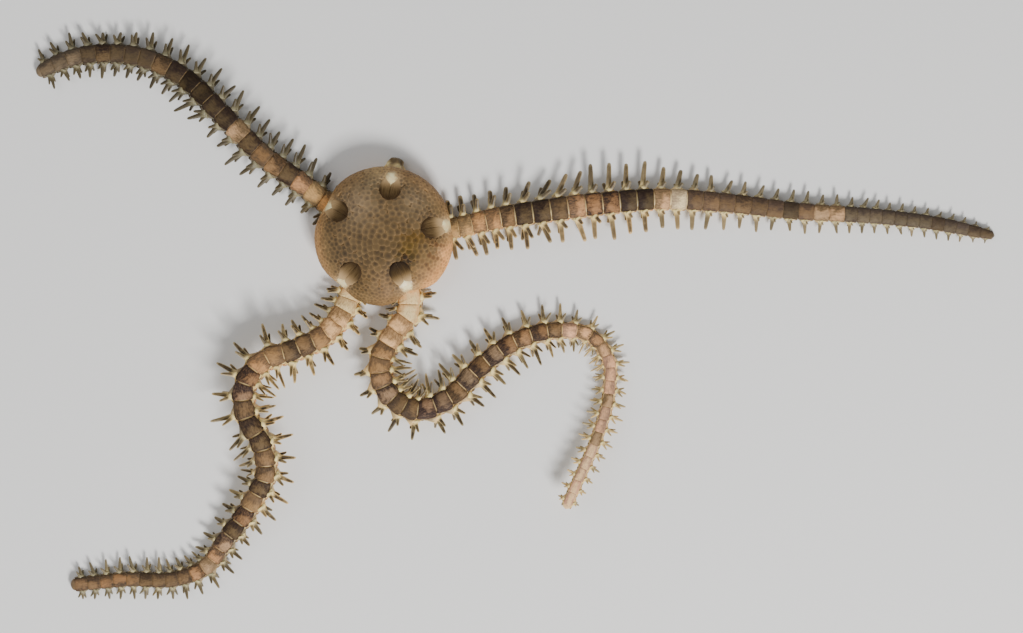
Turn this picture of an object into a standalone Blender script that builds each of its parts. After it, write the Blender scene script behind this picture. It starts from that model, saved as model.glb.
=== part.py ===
"""A brittle star at life size, lying as it crawls: a scaly round disc, four spiny arms and the
root of a fifth arm that was cast off.

Lengths are in millimetres until a mesh is written, which turns them into metres. The floor is
z = 0 and +Z is up. Places are given from the disc's centre, and DISC_CENTRE puts that centre in
the frame, whose origin is the middle of the animal's footprint on the floor.
"""

import math
import random

import bmesh
import bpy
import numpy as np

MM = 0.001
DISC_CENTRE = np.array([-14.41, 8.73, 0.0])
NODE_GAP = 0.32
SLIVER = 0.005
SEED = 5
SHARP_ANGLE = math.radians(40)

# The disc: a puffed cushion that overhangs the arms.
DISC_RADIUS = 7.7
DISC_TOP = 5.4
DISC_EQUATOR = 2.9
DISC_BELLY = 0.5
LOBE_NOTCH = 0.035
LOBE_NOTCH_SPREAD = math.radians(15)
DISC_AROUND = 50
DISC_TOP_SHARES = (1.0, 0.975, 0.915, 0.82, 0.7, 0.56, 0.4, 0.2)
DISC_BELLY_SHARES = (0.975, 0.9, 0.72)

# The mouth: a hollow in the belly that holds a ring of five jaws.
MOUTH_RADIUS = 3.2
MOUTH_ROOF = 1.55
JAW_FLOOR = 0.12
JAW_REACH = 0.55
MOUTH_SLIT = 2.2
JAW_STEPS = (0.0, 0.05, 0.12, 0.22, 0.36, 0.5, 0.64, 0.78, 0.88, 0.95)

# A radial shield is one of two dark plates side by side above each arm's root.
SHIELD_LENGTH = 2.5
SHIELD_WIDTH = 1.1
SHIELD_CENTRE = 5.35
SHIELD_APART = 1.3
SHIELD_RISE = 0.16
SHIELD_SINK = 0.7
PIT_DEPTH = 0.3
PIT_SPREAD = 1.5

# An oral shield is one plate between two arms, just outside the mouth.
ORAL_SHIELD_CENTRE = 4.2
ORAL_SHIELD_LENGTH = 1.5
ORAL_SHIELD_WIDTH = 1.8
ORAL_SHIELD_DROP = 0.25
PLATE_SIDES = 8

# The arm's root under the disc, from the mouth to just past the disc's edge.
ROOT_BEGINS = 0.4
ROOT_REACH = 8.2
ROOT_RINGS = 4
ROOT_SWELL = 0.95
STUMP_END_SWELL = 0.6

# A joint is narrow at its seams and widest at its shoulder. The section is given as shares of
# the arm's width and height, from the belly up one side.
ARM_HEIGHT_SHARE = 0.78
WAIST = 0.84
SHOULDER_PLACE = 0.78
SECTION_HALF = ((0.30, 0.0), (0.49, 0.2), (0.5, 0.6), (0.25, 1.0))

# The spines on each side of a joint: height on the arm's side, angle above level, share of the
# full length, and lean towards the arm's tip. The second stands only on the arm's inner part,
# and the third only on its first joints.
SPINE_FAN = ((0.40, 8, 1.0, 4), (0.76, 40, 0.68, 24), (0.36, 2, 0.75, -18))
SECOND_SPINE_REACH = 32
THIRD_SPINE_REACH = 6
ROOT_SPINE = (0.32, -4, 0.75, 0)
ROOT_JOINT = 1.8
END_STAND = 0.6
SPINE_SIDES = 4
SMALL_SPINE_SIDES = 3
SMALL_SPINE_ARM = 1.9
SPINE_BASE = 0.52
SPINE_TIP = 0.28
SPINE_FLATNESS = 0.85
SPINE_SINK = 0.45
SPINE_LEAST_WIDTH = 0.75
LENGTH_SPREAD = 0.14
LEAN_SPREAD = 7
BEND_SHARE = 0.72

# Each arm, named for how it lies. Widths, joints and spines are pairs of distance from the
# disc's edge and size, with the spines of the arm's left side first. Stands tell at what share of
# a joint its spines stand; in the end joints of a node they stand at END_STAND. Knots of the path
# under its belly are x, y, lift off the floor, and lean, which is how far the back is pushed to
# the arm's left for each unit of height.
ARMS = {
    "right": {
        "bearing": 9.5,
        "widths": ((0, 2.4), (12, 2.7), (25, 2.3), (42, 1.72), (55, 1.35), (60, 0.45)),
        "joints": ((0, 1.6), (6, 1.65), (9, 1.8), (14, 2.1), (18, 1.88), (22, 1.78), (30, 1.8),
                   (38, 1.7), (48, 1.6), (54, 1.45), (60, 0.9)),
        "spines": (
            ((0, 1.8), (9, 1.9), (12, 2.6), (15, 3.2), (20, 3.1), (22, 2.4), (26, 1.9), (32, 1.5),
             (40, 1.2), (48, 0.9), (55, 0.65), (60, 0.35)),
            ((0, 2.1), (8, 2.7), (16, 2.7), (22, 2.0), (28, 1.8), (40, 1.35), (46, 1.1), (54, 0.9),
             (60, 0.35)),
        ),
        "stands": ((0, 0.55), (42, 0.6), (48, 0.7)),
        "knots": (
            (2.9, 0.5, 0, 0), (7.7, 1.0, 0, 0), (12.55, 2.0, 0.3, 0.06), (17.45, 2.7, 0.5, 0.1),
            (24.0, 3.55, 0.4, 0.11), (30.6, 4.05, 0.2, 0.1), (37.2, 3.7, 0, 0.08),
            (45.4, 2.8, 0, 0.05), (53.6, 2.3, 0, 0.02), (60.1, 1.6, 0, 0), (67.4, 0.15, 0, 0),
        ),
        "parts": ("base", "middle", "outer", "tip"),
    },
    "lost": {
        "bearing": 82.0,
        "widths": ((0, 2.3), (1, 2.3)),
        "knots": ((0.41, 2.92, 0, 0), (0.8, 5.7, 0, 0), (1.16, 8.25, 0, 0)),
        "parts": (),
    },
    "left": {
        "bearing": 151.6,
        "widths": ((0, 2.55), (18, 2.45), (30, 2.2), (37, 1.9)),
        "joints": ((0, 1.95), (2, 1.7), (6, 1.77), (10, 1.83), (26, 1.87), (30, 1.7), (37, 1.5)),
        "spines": (
            ((0, 1.45), (7, 1.7), (10, 2.2), (13, 1.5), (17, 2.3), (21, 1.7), (25, 1.2), (37, 1.25)),
            ((0, 1.5), (4, 2.2), (22, 2.1), (26, 1.3), (31, 1.6), (37, 0.9)),
        ),
        "stands": ((0, 0.52), (8, 0.6), (12, 0.72), (30, 0.68), (33, 0.4)),
        "knots": (
            (-2.6, 1.4, 0, 0), (-6.45, 3.8, 0, 0), (-9.35, 5.9, 0.5, -0.07), (-13.1, 8.5, 1.1, -0.13),
            (-17.75, 13.1, 1.5, -0.14), (-22.35, 17.55, 0.9, -0.1), (-26.9, 19.7, 0.2, -0.07),
            (-31.8, 20.2, 0, 0), (-35.2, 19.55, 0, 0), (-38.05, 18.25, 0, 0),
        ),
        "parts": ("base", "middle", "tip"),
    },
    "bent": {
        "bearing": 228.3,
        "widths": ((0, 2.6), (21, 2.5), (32, 2.3), (42, 1.75), (53, 1.45)),
        "joints": ((0, 1.45), (1.5, 1.72), (10, 1.75), (13, 1.62), (17, 1.85), (31, 1.88),
                   (36, 1.55), (43, 1.58), (53, 1.5)),
        "spines": (
            ((0, 1.3), (5, 2.0), (14, 2.4), (20, 2.2), (28, 2.1), (33, 1.4), (40, 1.6), (53, 1.15)),
            ((0, 1.6), (8, 1.8), (13, 2.2), (22, 2.3), (25, 1.3), (31, 1.6), (35, 1.1), (42, 1.3),
             (48, 1.6), (53, 1.1)),
        ),
        "stands": ((0, 0.55), (8, 0.62), (12, 0.85), (33, 0.8), (38, 0.3), (44, 0.5), (50, 0.62)),
        "knots": (
            (-1.95, -2.2, 0, 0), (-3.55, -6.15, 0, -0.07), (-4.4, -8.3, 0.4, -0.14),
            (-6.4, -10.95, 1.2, -0.18), (-9.7, -12.65, 2.1, -0.18), (-13.3, -14.0, 2.8, -0.18),
            (-15.05, -16.75, 3.1, -0.2), (-14.8, -19.55, 3.1, -0.2), (-13.2, -22.6, 2.8, -0.18),
            (-12.75, -25.6, 2.3, -0.14), (-14.6, -29.55, 1.4, -0.1), (-17.45, -33.45, 0.5, -0.07),
            (-19.75, -36.4, 0.1, 0), (-23.1, -37.75, 0, 0), (-28.0, -37.8, 0, 0), (-34.2, -38.4, 0, 0),
        ),
        "parts": ("base", "elbow", "shin", "ankle", "tip"),
    },
    "curled": {
        "bearing": 294.5,
        "widths": ((0, 2.7), (20, 2.45), (30, 2.1), (36, 1.6), (56, 1.3)),
        "joints": ((0, 1.8), (4, 1.75), (6, 1.45), (10, 1.4), (14, 1.72), (18, 1.93), (27, 1.93),
                   (31, 1.72), (35, 1.58), (42, 1.55), (55, 1.45)),
        "spines": (
            ((0, 1.8), (4, 2.3), (18, 2.5), (24, 2.0), (32, 2.0), (34, 1.4), (37, 0.9), (45, 0.65),
             (56, 0.55)),
            ((0, 1.2), (8, 1.2), (12, 1.6), (18, 2.2), (28, 2.4), (33, 1.7), (36, 1.3), (46, 1.1),
             (50, 0.7), (56, 0.6)),
        ),
        "stands": ((0, 0.5), (11, 0.5), (13, 0.34), (20, 0.24), (36, 0.24), (44, 0.55)),
        "knots": (
            (1.2, -2.65, 0, 0), (2.75, -6.1, 0, -0.07), (2.85, -8.4, 0.2, -0.18),
            (1.1, -11.1, 0.7, -0.21), (-0.25, -13.9, 1.2, -0.21), (0.6, -17.1, 1.4, -0.21),
            (3.55, -18.9, 1.2, -0.18), (6.85, -17.95, 0.9, -0.03), (10.55, -14.5, 0.5, 0.1),
            (14.55, -11.65, 0.2, 0.14), (19.25, -10.4, 0, 0.1), (22.7, -10.95, 0, 0.03),
            (24.7, -13.65, 0.2, 0), (24.75, -17.0, 0.7, 0), (23.5, -21.75, 1.4, 0),
            (21.55, -26.2, 2.1, 0), (20.0, -29.55, 2.7, 0),
        ),
        "parts": ("base", "loop", "crook", "rise", "bow", "tip"),
    },
}

COLOURS = {
    "disc": (0.36, 0.23, 0.13, 1),
    "arm": (0.30, 0.17, 0.10, 1),
    "mouth": (0.62, 0.50, 0.38, 1),
}


def at(table, place):
    """The value of a table of (place, value) pairs, read by straight lines between them."""
    places, values = zip(*table)
    return float(np.interp(place, places, values))


def clear_scene():
    for thing in list(bpy.data.objects):
        bpy.data.objects.remove(thing)


def material(name):
    """A plain finish in the part's colour."""
    made = bpy.data.materials.new(name)
    made.use_nodes = True
    shader = made.node_tree.nodes["Principled BSDF"]
    shader.inputs["Base Color"].default_value = COLOURS[name]
    shader.inputs["Roughness"].default_value = 0.55
    shader.inputs["Metallic"].default_value = 0.0
    return made


def smooth(mesh):
    """Rounds the look of shallow edges and keeps sharp ones."""
    mesh.shade_smooth()
    mesh.set_sharp_from_angle(angle=SHARP_ANGLE)


def mesh_object(name, points, faces, finish=None):
    """An object from points in millimetres from the disc's centre, put in the frame in metres."""
    mesh = bpy.data.meshes.new(name)
    mesh.from_pydata((np.asarray(points) + DISC_CENTRE) * MM, [], faces)
    mesh.validate()
    smooth(mesh)
    thing = bpy.data.objects.new(name, mesh)
    bpy.context.scene.collection.objects.link(thing)
    if finish:
        mesh.materials.append(finish)
    return thing


def loft(name, rings, finish=None):
    """A closed solid through rings of points, each ring running the same way round its path."""
    count = len(rings[0])
    faces = [tuple(reversed(range(count)))]
    for ring in range(len(rings) - 1):
        here, there = ring * count, (ring + 1) * count
        for i in range(count):
            j = (i + 1) % count
            faces.append((here + i, here + j, there + j, there + i))
    last = (len(rings) - 1) * count
    faces.append(tuple(range(last, last + count)))
    return mesh_object(name, np.concatenate(rings), faces, finish)


def fuse(body, pieces):
    """Joins closed pieces to body by one Boolean union, and keeps its largest closed surface."""
    group = bpy.data.collections.new(body.name + "_pieces")
    for piece in pieces:
        group.objects.link(piece)
    union = body.modifiers.new("union", "BOOLEAN")
    union.operation = "UNION"
    union.solver = "EXACT"
    union.operand_type = "COLLECTION"
    union.collection = group
    bpy.context.scene.collection.children.link(group)
    bpy.context.view_layer.update()
    graph = bpy.context.evaluated_depsgraph_get()
    joined = bpy.data.meshes.new_from_object(body.evaluated_get(graph))
    body.modifiers.remove(union)
    body.data = joined
    for piece in pieces:
        bpy.data.objects.remove(piece)
    bpy.data.collections.remove(group)
    keep_largest(joined)


def keep_largest(mesh):
    """Deletes every closed surface of the mesh but the one with the most faces."""
    work = bmesh.new()
    work.from_mesh(mesh)
    bmesh.ops.remove_doubles(work, verts=work.verts, dist=SLIVER * MM)
    left = set(work.faces)
    groups = []
    while left:
        stack = [left.pop()]
        group = set(stack)
        while stack:
            for edge in stack.pop().edges:
                for face in edge.link_faces:
                    if face in left:
                        left.discard(face)
                        group.add(face)
                        stack.append(face)
        groups.append(group)
    groups.sort(key=len)
    for group in groups[:-1]:
        bmesh.ops.delete(work, geom=list(group), context="FACES")
    work.to_mesh(mesh)
    work.free()
    smooth(mesh)


def smooth_slopes(places, values):
    """Slopes at knots for a curve that never overshoots its knots."""
    steps = np.diff(values) / np.diff(places)
    slopes = np.zeros(len(values))
    for i in range(1, len(values) - 1):
        before, after = steps[i - 1], steps[i]
        if before * after > 0:
            slopes[i] = 2 * before * after / (before + after)
    slopes[0], slopes[-1] = steps[0], steps[-1]
    return slopes


def round_slopes(places, values):
    """Slopes at knots for a round curve: each is the mean of the steps beside it, by length."""
    gaps = np.diff(places)
    steps = np.diff(values) / gaps
    slopes = np.empty(len(values))
    slopes[1:-1] = (steps[:-1] * gaps[1:] + steps[1:] * gaps[:-1]) / (gaps[:-1] + gaps[1:])
    slopes[0], slopes[-1] = steps[0], steps[-1]
    return slopes


def hermite(places, values, slopes, wanted):
    """The cubic through knots with these slopes, read at wanted."""
    index = np.clip(np.searchsorted(places, wanted, side="right") - 1, 0, len(places) - 2)
    span = places[index + 1] - places[index]
    t = (wanted - places[index]) / span
    return (
        values[index] * (2 * t**3 - 3 * t**2 + 1)
        + slopes[index] * span * (t**3 - 2 * t**2 + t)
        + values[index + 1] * (3 * t**2 - 2 * t**3)
        + slopes[index + 1] * span * (t**3 - t**2)
    )


class Path:
    """A smooth path under an arm's belly, read by distance in millimetres from its start."""

    def __init__(self, knots):
        knots = np.array(knots, float)
        chord = np.r_[0, np.cumsum(np.linalg.norm(np.diff(knots[:, :2], axis=0), axis=1))]
        fine = np.linspace(0, chord[-1], 1200)
        columns = [hermite(chord, knots[:, k], round_slopes(chord, knots[:, k]), fine) for k in (0, 1)]
        columns += [hermite(chord, knots[:, k], smooth_slopes(chord, knots[:, k]), fine) for k in (2, 3)]
        self.points = np.stack(columns[:3], axis=1)
        self.leans = columns[3]
        steps = np.linalg.norm(np.diff(self.points, axis=0), axis=1)
        self.places = np.r_[0, np.cumsum(steps)]
        self.length = self.places[-1]
        ahead = np.gradient(self.points, self.places, axis=0)
        self.heads = ahead / np.linalg.norm(ahead, axis=1)[:, None]
        turning = np.gradient(np.unwrap(np.arctan2(self.heads[:, 1], self.heads[:, 0])), self.places)
        self.bends = np.convolve(turning, np.ones(25) / 25, mode="same")

    def read(self, column, place):
        return np.interp(place, self.places, column)

    def frame(self, place):
        """Point, heading, left side and up at a distance; past an end the path runs straight."""
        inside = min(max(place, 0.0), self.length)
        point = np.array([self.read(self.points[:, k], inside) for k in range(3)])
        head = np.array([self.read(self.heads[:, k], inside) for k in range(3)])
        head /= np.linalg.norm(head)
        side = np.cross((0, 0, 1), head)
        side /= np.linalg.norm(side)
        return point + head * (place - inside), head, side, np.cross(head, side)

    def leaves(self, radius):
        """The distance at which the path leaves a circle about the disc's centre."""
        return float(np.interp(radius, np.linalg.norm(self.points[:400, :2], axis=1), self.places[:400]))

    def bend(self, place):
        """How sharply the path turns to its left, as one over the bend's radius."""
        return float(self.read(self.bends, place))


class Arm:
    """One arm: its path, where it leaves the root, and its joints."""

    def __init__(self, name):
        self.name = name
        self.shape = ARMS[name]
        self.path = Path(self.shape["knots"])
        self.start = self.path.leaves(ROOT_REACH) if self.shape["parts"] else self.path.length
        self.length = self.path.length - self.start
        self.seams = self.find_seams() if self.shape["parts"] else []

    def find_seams(self):
        """Distances from the root's end to the seams between joints; the last one is the tip."""
        seams = [0.0]
        while seams[-1] < self.length:
            seams.append(seams[-1] + at(self.shape["joints"], seams[-1]))
        return [seam * self.length / seams[-1] for seam in seams]

    def width(self, along):
        return at(self.shape["widths"], along)

    def height(self, along):
        return self.width(along) * ARM_HEIGHT_SHARE

    def spot(self, along, across, height):
        """A place on the arm: across and height are in millimetres, seen along the arm."""
        point, _, side, up = self.path.frame(self.start + along)
        lean = self.path.read(self.path.leans, self.start + along)
        return point + side * (across + lean * height) + up * height

    def ring(self, along, swell):
        """The arm's section at a distance, swollen by a factor, turned with its path."""
        width = self.width(along) * swell
        height = self.height(along) * (0.5 + 0.5 * swell)
        half = [(u * width, v * height) for u, v in SECTION_HALF]
        outline = half + [(-u, v) for u, v in reversed(half)]
        return np.array([self.spot(along, u, v) for u, v in outline])

    def rings(self, first, last):
        """Sections of the joints from seam first to seam last: narrow at a seam, wide beyond."""
        end = self.seams[last] - (NODE_GAP / 2 if last < len(self.seams) - 1 else 0)
        made = [self.ring(self.seams[first] + NODE_GAP / 2, WAIST)]
        for joint in range(first, last):
            near, far = self.seams[joint], self.seams[joint + 1]
            made.append(self.ring(near + SHOULDER_PLACE * (far - near), 1.0))
            if joint < last - 1:
                made.append(self.ring(far, WAIST))
        made.append(self.ring(end, WAIST))
        return made

    def reach(self, along, side, length):
        """How far from the arm's middle a spine of this length reaches, less inside a bend."""
        inside = max(self.path.bend(self.start + along) * side, 1e-6)
        return min(self.width(along) / 2 + length, BEND_SHARE / inside)

    def spine(self, near, far, stand, side, fan, draw):
        """One spine: it stands at a share of its joint and ends between the joint's two seams."""
        place, rise, share, lean = fan
        root_along = near + stand * (far - near)
        width, height = self.width(root_along), self.height(root_along)
        length = at(self.shape["spines"][side < 0], root_along) * share
        length *= 1 + draw.uniform(-LENGTH_SPREAD, LENGTH_SPREAD)
        lean = math.radians(lean + draw.uniform(-LEAN_SPREAD, LEAN_SPREAD))
        rise = math.radians(rise)
        base = min(SPINE_BASE, 0.36 * width)
        tip = base * SPINE_TIP / SPINE_BASE
        spare = (NODE_GAP + tip) / 2
        tip_along = root_along + length * math.sin(lean) * math.cos(rise)
        tip_along = min(max(tip_along, near + spare), far - spare)
        out = self.reach(tip_along, side, length * math.cos(rise) * math.cos(lean))
        root_out = width / 2 - min(SPINE_SINK, 0.3 * width)
        root = self.spot(root_along, side * root_out, place * height)
        end = self.spot(tip_along, side * out, place * height + length * math.sin(rise))
        if near >= 0:
            clear = DISC_RADIUS + NODE_GAP + base / 2
            end[:2] *= max(clear / math.hypot(end[0], end[1]), 1.0)
        small = share < 1 or width < SMALL_SPINE_ARM
        return tapered(root, end, base, tip, SMALL_SPINE_SIDES if small else SPINE_SIDES)

    def spines(self, first, last, draw):
        """The spines of the joints from seam first to seam last, on both sides."""
        made = []
        for joint in range(first, last):
            near, far = self.seams[joint], self.seams[joint + 1]
            if self.width(far) < SPINE_LEAST_WIDTH:
                continue
            at_end = joint in (first, last - 1)
            stand = END_STAND if at_end else at(self.shape["stands"], near)
            reaches = (self.length, SECOND_SPINE_REACH, THIRD_SPINE_REACH)
            fans = [fan for fan, reach in zip(SPINE_FAN, reaches) if near < reach]
            made += [self.spine(near, far, stand, side, fan, draw)
                     for side in (1, -1) for fan in fans]
        return made

    def root_spines(self, draw):
        """Two low spines that reach out from under the disc's edge."""
        if not self.seams:
            return []
        return [self.spine(-ROOT_JOINT, 0.0, END_STAND, side, ROOT_SPINE, draw)
                for side in (1, -1)]

    def spans(self):
        """The arm's nodes as (name, first seam, last seam), of nearly equal numbers of joints."""
        parts = self.shape["parts"]
        cuts = np.linspace(0, len(self.seams) - 1, len(parts) + 1).round().astype(int)
        return [(f"arm_{self.name}_{part}", cuts[k], cuts[k + 1]) for k, part in enumerate(parts)]


def tapered(root, end, base, tip, sides):
    """A blunt spine of a few sides, a little flat, from its root to its end."""
    head = (end - root) / np.linalg.norm(end - root)
    wide = np.cross((0, 0, 1), head)
    wide /= np.linalg.norm(wide)
    tall = np.cross(head, wide) * SPINE_FLATNESS
    turns = [math.pi / sides + 2 * math.pi * i / sides for i in range(sides)]
    rings = []
    for centre, size in ((root, base), (end, tip)):
        radius = size / 2 / math.cos(math.pi / sides)
        rings.append(np.array([centre + (math.sin(turn) * wide - math.cos(turn) * tall) * radius
                               for turn in turns]))
    return loft("spine", rings)


BEARINGS = np.radians([shape["bearing"] for shape in ARMS.values()])


def polar(radius, bearing, height=0.0):
    """A place by its distance and bearing from the disc's centre."""
    return np.array([radius * math.cos(bearing), radius * math.sin(bearing), height])


def between_arms(step):
    """The bearing at a step round the disc: whole numbers are arms, halves lie between them."""
    arms = np.r_[BEARINGS, BEARINGS + 2 * math.pi]
    return float(np.interp(step % 5, np.arange(len(arms)), arms))


def disc_radius(bearing):
    """The disc's edge, drawn in a little over each arm."""
    off = np.angle(np.exp(1j * (bearing - BEARINGS)))
    return DISC_RADIUS * (1 - LOBE_NOTCH * np.exp(-((off / LOBE_NOTCH_SPREAD) ** 2)).sum())


def disc_top(x, y):
    """Height of the disc's back: a flattened dome with a dip over each arm's root."""
    bearing = math.atan2(y, x)
    share = min(math.hypot(x, y) / disc_radius(bearing), 1.0)
    dome = DISC_EQUATOR + (DISC_TOP - DISC_EQUATOR) * (1 - share**3) ** 0.55
    for arm in BEARINGS:
        pit = polar(SHIELD_CENTRE, arm)
        dome -= PIT_DEPTH * math.exp(-(((x - pit[0]) ** 2 + (y - pit[1]) ** 2) / PIT_SPREAD**2))
    return dome


def disc_belly(share):
    """Height of the disc's belly, nearly flat and rounded up at the edge."""
    return DISC_EQUATOR - (DISC_EQUATOR - DISC_BELLY) * (1 - share**6) ** 0.6


def revolve(name, rings, finish):
    """A closed solid from rings about the centre, with a point to close it at each end."""
    count = len(rings[0])
    first = [(0, 0, rings[0][0][2])]
    last = [(0, 0, rings[-1][0][2])]
    points = np.concatenate([first, *rings, last])
    faces = []
    for i in range(count):
        j = (i + 1) % count
        faces.append((0, 1 + j, 1 + i))
        for ring in range(len(rings) - 1):
            here, there = 1 + ring * count, 1 + (ring + 1) * count
            faces.append((here + i, here + j, there + j, there + i))
        top = 1 + (len(rings) - 1) * count
        faces.append((top + i, top + j, len(points) - 1))
    return mesh_object(name, points, faces, finish)


def disc_body(finish):
    """The cushion: the mouth's roof and wall, the belly, the edge and the back."""
    bearings = [2 * math.pi * i / DISC_AROUND for i in range(DISC_AROUND)]
    rings = [[polar(MOUTH_RADIUS, b, MOUTH_ROOF) for b in bearings]]
    mouth_share = MOUTH_RADIUS / DISC_RADIUS
    rings.append([polar(MOUTH_RADIUS, b, disc_belly(mouth_share)) for b in bearings])
    for share in reversed(DISC_BELLY_SHARES):
        rings.append([polar(share * disc_radius(b), b, disc_belly(share)) for b in bearings])
    for share in DISC_TOP_SHARES:
        ring = [polar(share * disc_radius(b), b) for b in bearings]
        for point in ring:
            point[2] = disc_top(point[0], point[1])
        rings.append(ring)
    return revolve("disc", rings, finish)


def plate(centre, bearing, length, width, surface, rise, sink):
    """An oval plate on a surface, raised by rise and sunk below it; rise is down if negative."""
    ahead, aside = polar(1, bearing), polar(1, bearing + math.pi / 2)
    rim = []
    for i in range(PLATE_SIDES):
        turn = 2 * math.pi * i / PLATE_SIDES
        rim.append(centre + ahead * length / 2 * math.cos(turn) + aside * width / 2 * math.sin(turn))
    rim = np.array(rim)
    outer, inner = rim.copy(), rim.copy()
    outer[:, 2] = [surface(x, y) + rise for x, y, _ in rim]
    inner[:, 2] = outer[:, 2] - math.copysign(sink, rise)
    return loft("plate", [inner, outer] if rise > 0 else [outer, inner])


def shields():
    """Two radial shields over each arm and an oral shield between each two."""
    made = []
    for arm in BEARINGS:
        for side in (-1, 1):
            centre = polar(SHIELD_CENTRE, arm) + polar(SHIELD_APART / 2 * side, arm + math.pi / 2)
            made.append(plate(centre, arm, SHIELD_LENGTH, SHIELD_WIDTH, disc_top, SHIELD_RISE, SHIELD_SINK))
    for step in range(5):
        bearing = between_arms(step + 0.5)
        centre = polar(ORAL_SHIELD_CENTRE, bearing)
        made.append(
            plate(centre, bearing, ORAL_SHIELD_LENGTH, ORAL_SHIELD_WIDTH,
                  lambda x, y: DISC_BELLY, -ORAL_SHIELD_DROP, SHIELD_SINK)
        )
    return made


def mouth_frame(finish):
    """A ring of five jaws that point inwards, with a slit between them under each arm."""
    outer = MOUTH_RADIUS - NODE_GAP
    heights = (JAW_FLOOR, MOUTH_ROOF - NODE_GAP)
    points, faces = [], []
    for arm in range(5):
        for step in JAW_STEPS:
            bearing = between_arms(arm + step)
            from_slit = min(step, 1 - step) * 2
            inner = JAW_REACH + (MOUTH_SLIT - JAW_REACH) * math.exp(-((from_slit / 0.2) ** 2))
            points += [polar(r, bearing, h) for r, h in
                       ((inner, heights[0]), (outer, heights[0]), (outer, heights[1]), (inner, heights[1]))]
    count = len(points) // 4
    for i in range(count):
        here, there = 4 * i, 4 * ((i + 1) % count)
        for k in range(4):
            after = (k + 1) % 4
            faces.append((here + k, there + k, there + after, here + after))
    return mesh_object("mouth_frame", points, faces, finish)


def root_stub(arm):
    """The arm's root under the disc, from near the mouth to just past the disc's edge."""
    places = np.linspace(ROOT_BEGINS - arm.start, -NODE_GAP / 2, ROOT_RINGS)
    swells = [ROOT_SWELL] * (ROOT_RINGS - 2) + [1.0, WAIST]
    rings = [arm.ring(place, swell) for place, swell in zip(places, swells)]
    if not arm.seams:
        rings[-1] = arm.ring(0, STUMP_END_SWELL)
    return loft("root", rings)


def main():
    clear_scene()
    finishes = {name: material(name) for name in COLOURS}
    draw = random.Random(SEED)
    arms = [Arm(name) for name in ARMS]
    disc = disc_body(finishes["disc"])
    roots = [root_stub(arm) for arm in arms]
    for arm in arms:
        roots += arm.root_spines(draw)
    fuse(disc, shields() + roots)
    mouth_frame(finishes["mouth"])
    for arm in arms:
        for name, first, last in arm.spans():
            length = loft(name, arm.rings(first, last), finishes["arm"])
            fuse(length, arm.spines(first, last, draw))


main()
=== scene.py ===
"""The looks of a brittle star at life size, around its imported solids.

Lengths are in millimetres from the disc's centre until a mesh is written, which turns them into
metres in the frame. The floor is z = 0. On an arm, a place is given by its distance along from
the disc's edge, its turn about the arm (0 is the arm's left, a quarter turn the back, half a turn
the right), and its rise above the arm's flesh.
"""

import math

import bpy
import numpy as np
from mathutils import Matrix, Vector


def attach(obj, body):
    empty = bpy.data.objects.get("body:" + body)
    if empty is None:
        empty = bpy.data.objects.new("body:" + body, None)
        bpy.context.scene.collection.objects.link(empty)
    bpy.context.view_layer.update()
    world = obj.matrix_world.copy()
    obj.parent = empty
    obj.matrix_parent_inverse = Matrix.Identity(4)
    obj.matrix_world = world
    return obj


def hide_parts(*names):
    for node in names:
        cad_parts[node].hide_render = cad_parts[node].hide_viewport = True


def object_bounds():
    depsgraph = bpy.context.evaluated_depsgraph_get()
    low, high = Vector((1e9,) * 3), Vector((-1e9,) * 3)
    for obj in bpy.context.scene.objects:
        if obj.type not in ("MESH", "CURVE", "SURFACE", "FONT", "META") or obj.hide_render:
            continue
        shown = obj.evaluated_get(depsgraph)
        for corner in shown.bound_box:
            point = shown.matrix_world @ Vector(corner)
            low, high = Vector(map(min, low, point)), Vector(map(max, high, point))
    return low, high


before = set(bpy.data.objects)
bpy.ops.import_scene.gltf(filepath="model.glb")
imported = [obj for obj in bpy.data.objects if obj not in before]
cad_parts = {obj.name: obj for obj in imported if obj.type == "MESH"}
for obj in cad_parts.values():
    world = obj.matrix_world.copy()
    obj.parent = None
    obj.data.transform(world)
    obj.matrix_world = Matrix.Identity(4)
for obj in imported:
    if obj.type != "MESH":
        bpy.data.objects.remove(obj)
cad_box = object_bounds()

MM = 0.001
DISC_CENTRE = np.array([-14.41, 8.73, 0.0])
SEED = 11
QUARTER = math.pi / 2

# The photograph's frame. Its scale holds at SHARP_HEIGHT above the floor.
PHOTO_SIZE = (1023, 633)
MM_PER_PIXEL = 0.11
SHARP_HEIGHT = 2.0
DISC_PIXEL = (384.5, 236.5)
LENS = 100.0
SENSOR = 36.0

# The disc, as in the solids. Scales have pitches by the share of the way to the mouth, and each
# has the room of SCALE_ROOM times its pitch squared.
DISC_RADIUS = 7.62
DISC_TOP = 5.4
DISC_EQUATOR = 2.9
DISC_BELLY = 0.5
NOTCH_SPREAD = math.radians(15)
PIT_DEPTH = 0.42
PIT_SPREAD = 1.35
MOUTH_RADIUS = 3.2
MOUTH_ROOF = 1.55
SCALE_PITCHES = ((0, 0.74), (0.3, 0.7), (0.42, 0.5), (0.55, 0.42), (1, 0.4))
SCALE_THICKNESS = 0.08
SCALE_ROOM = 0.866
SCALE_SHAKE = 0.35
SPREAD_ROUNDS = 12
SPREAD_PUSH = 0.32
OUTLINE_POINTS = 300

# The arms. The height and the plates' thickness are shares of the arm's width.
ROOT_REACH = 8.2
ARM_HEIGHT_SHARE = 0.78
PLATE_SHARE = 0.065
SQUARENESS = 2.6
SEAM = 0.08
PATH_POINTS = 1200
ROOT_POINTS = 400
BEND_BLUR = 25
STUMP_STEP = 1.85

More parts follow.
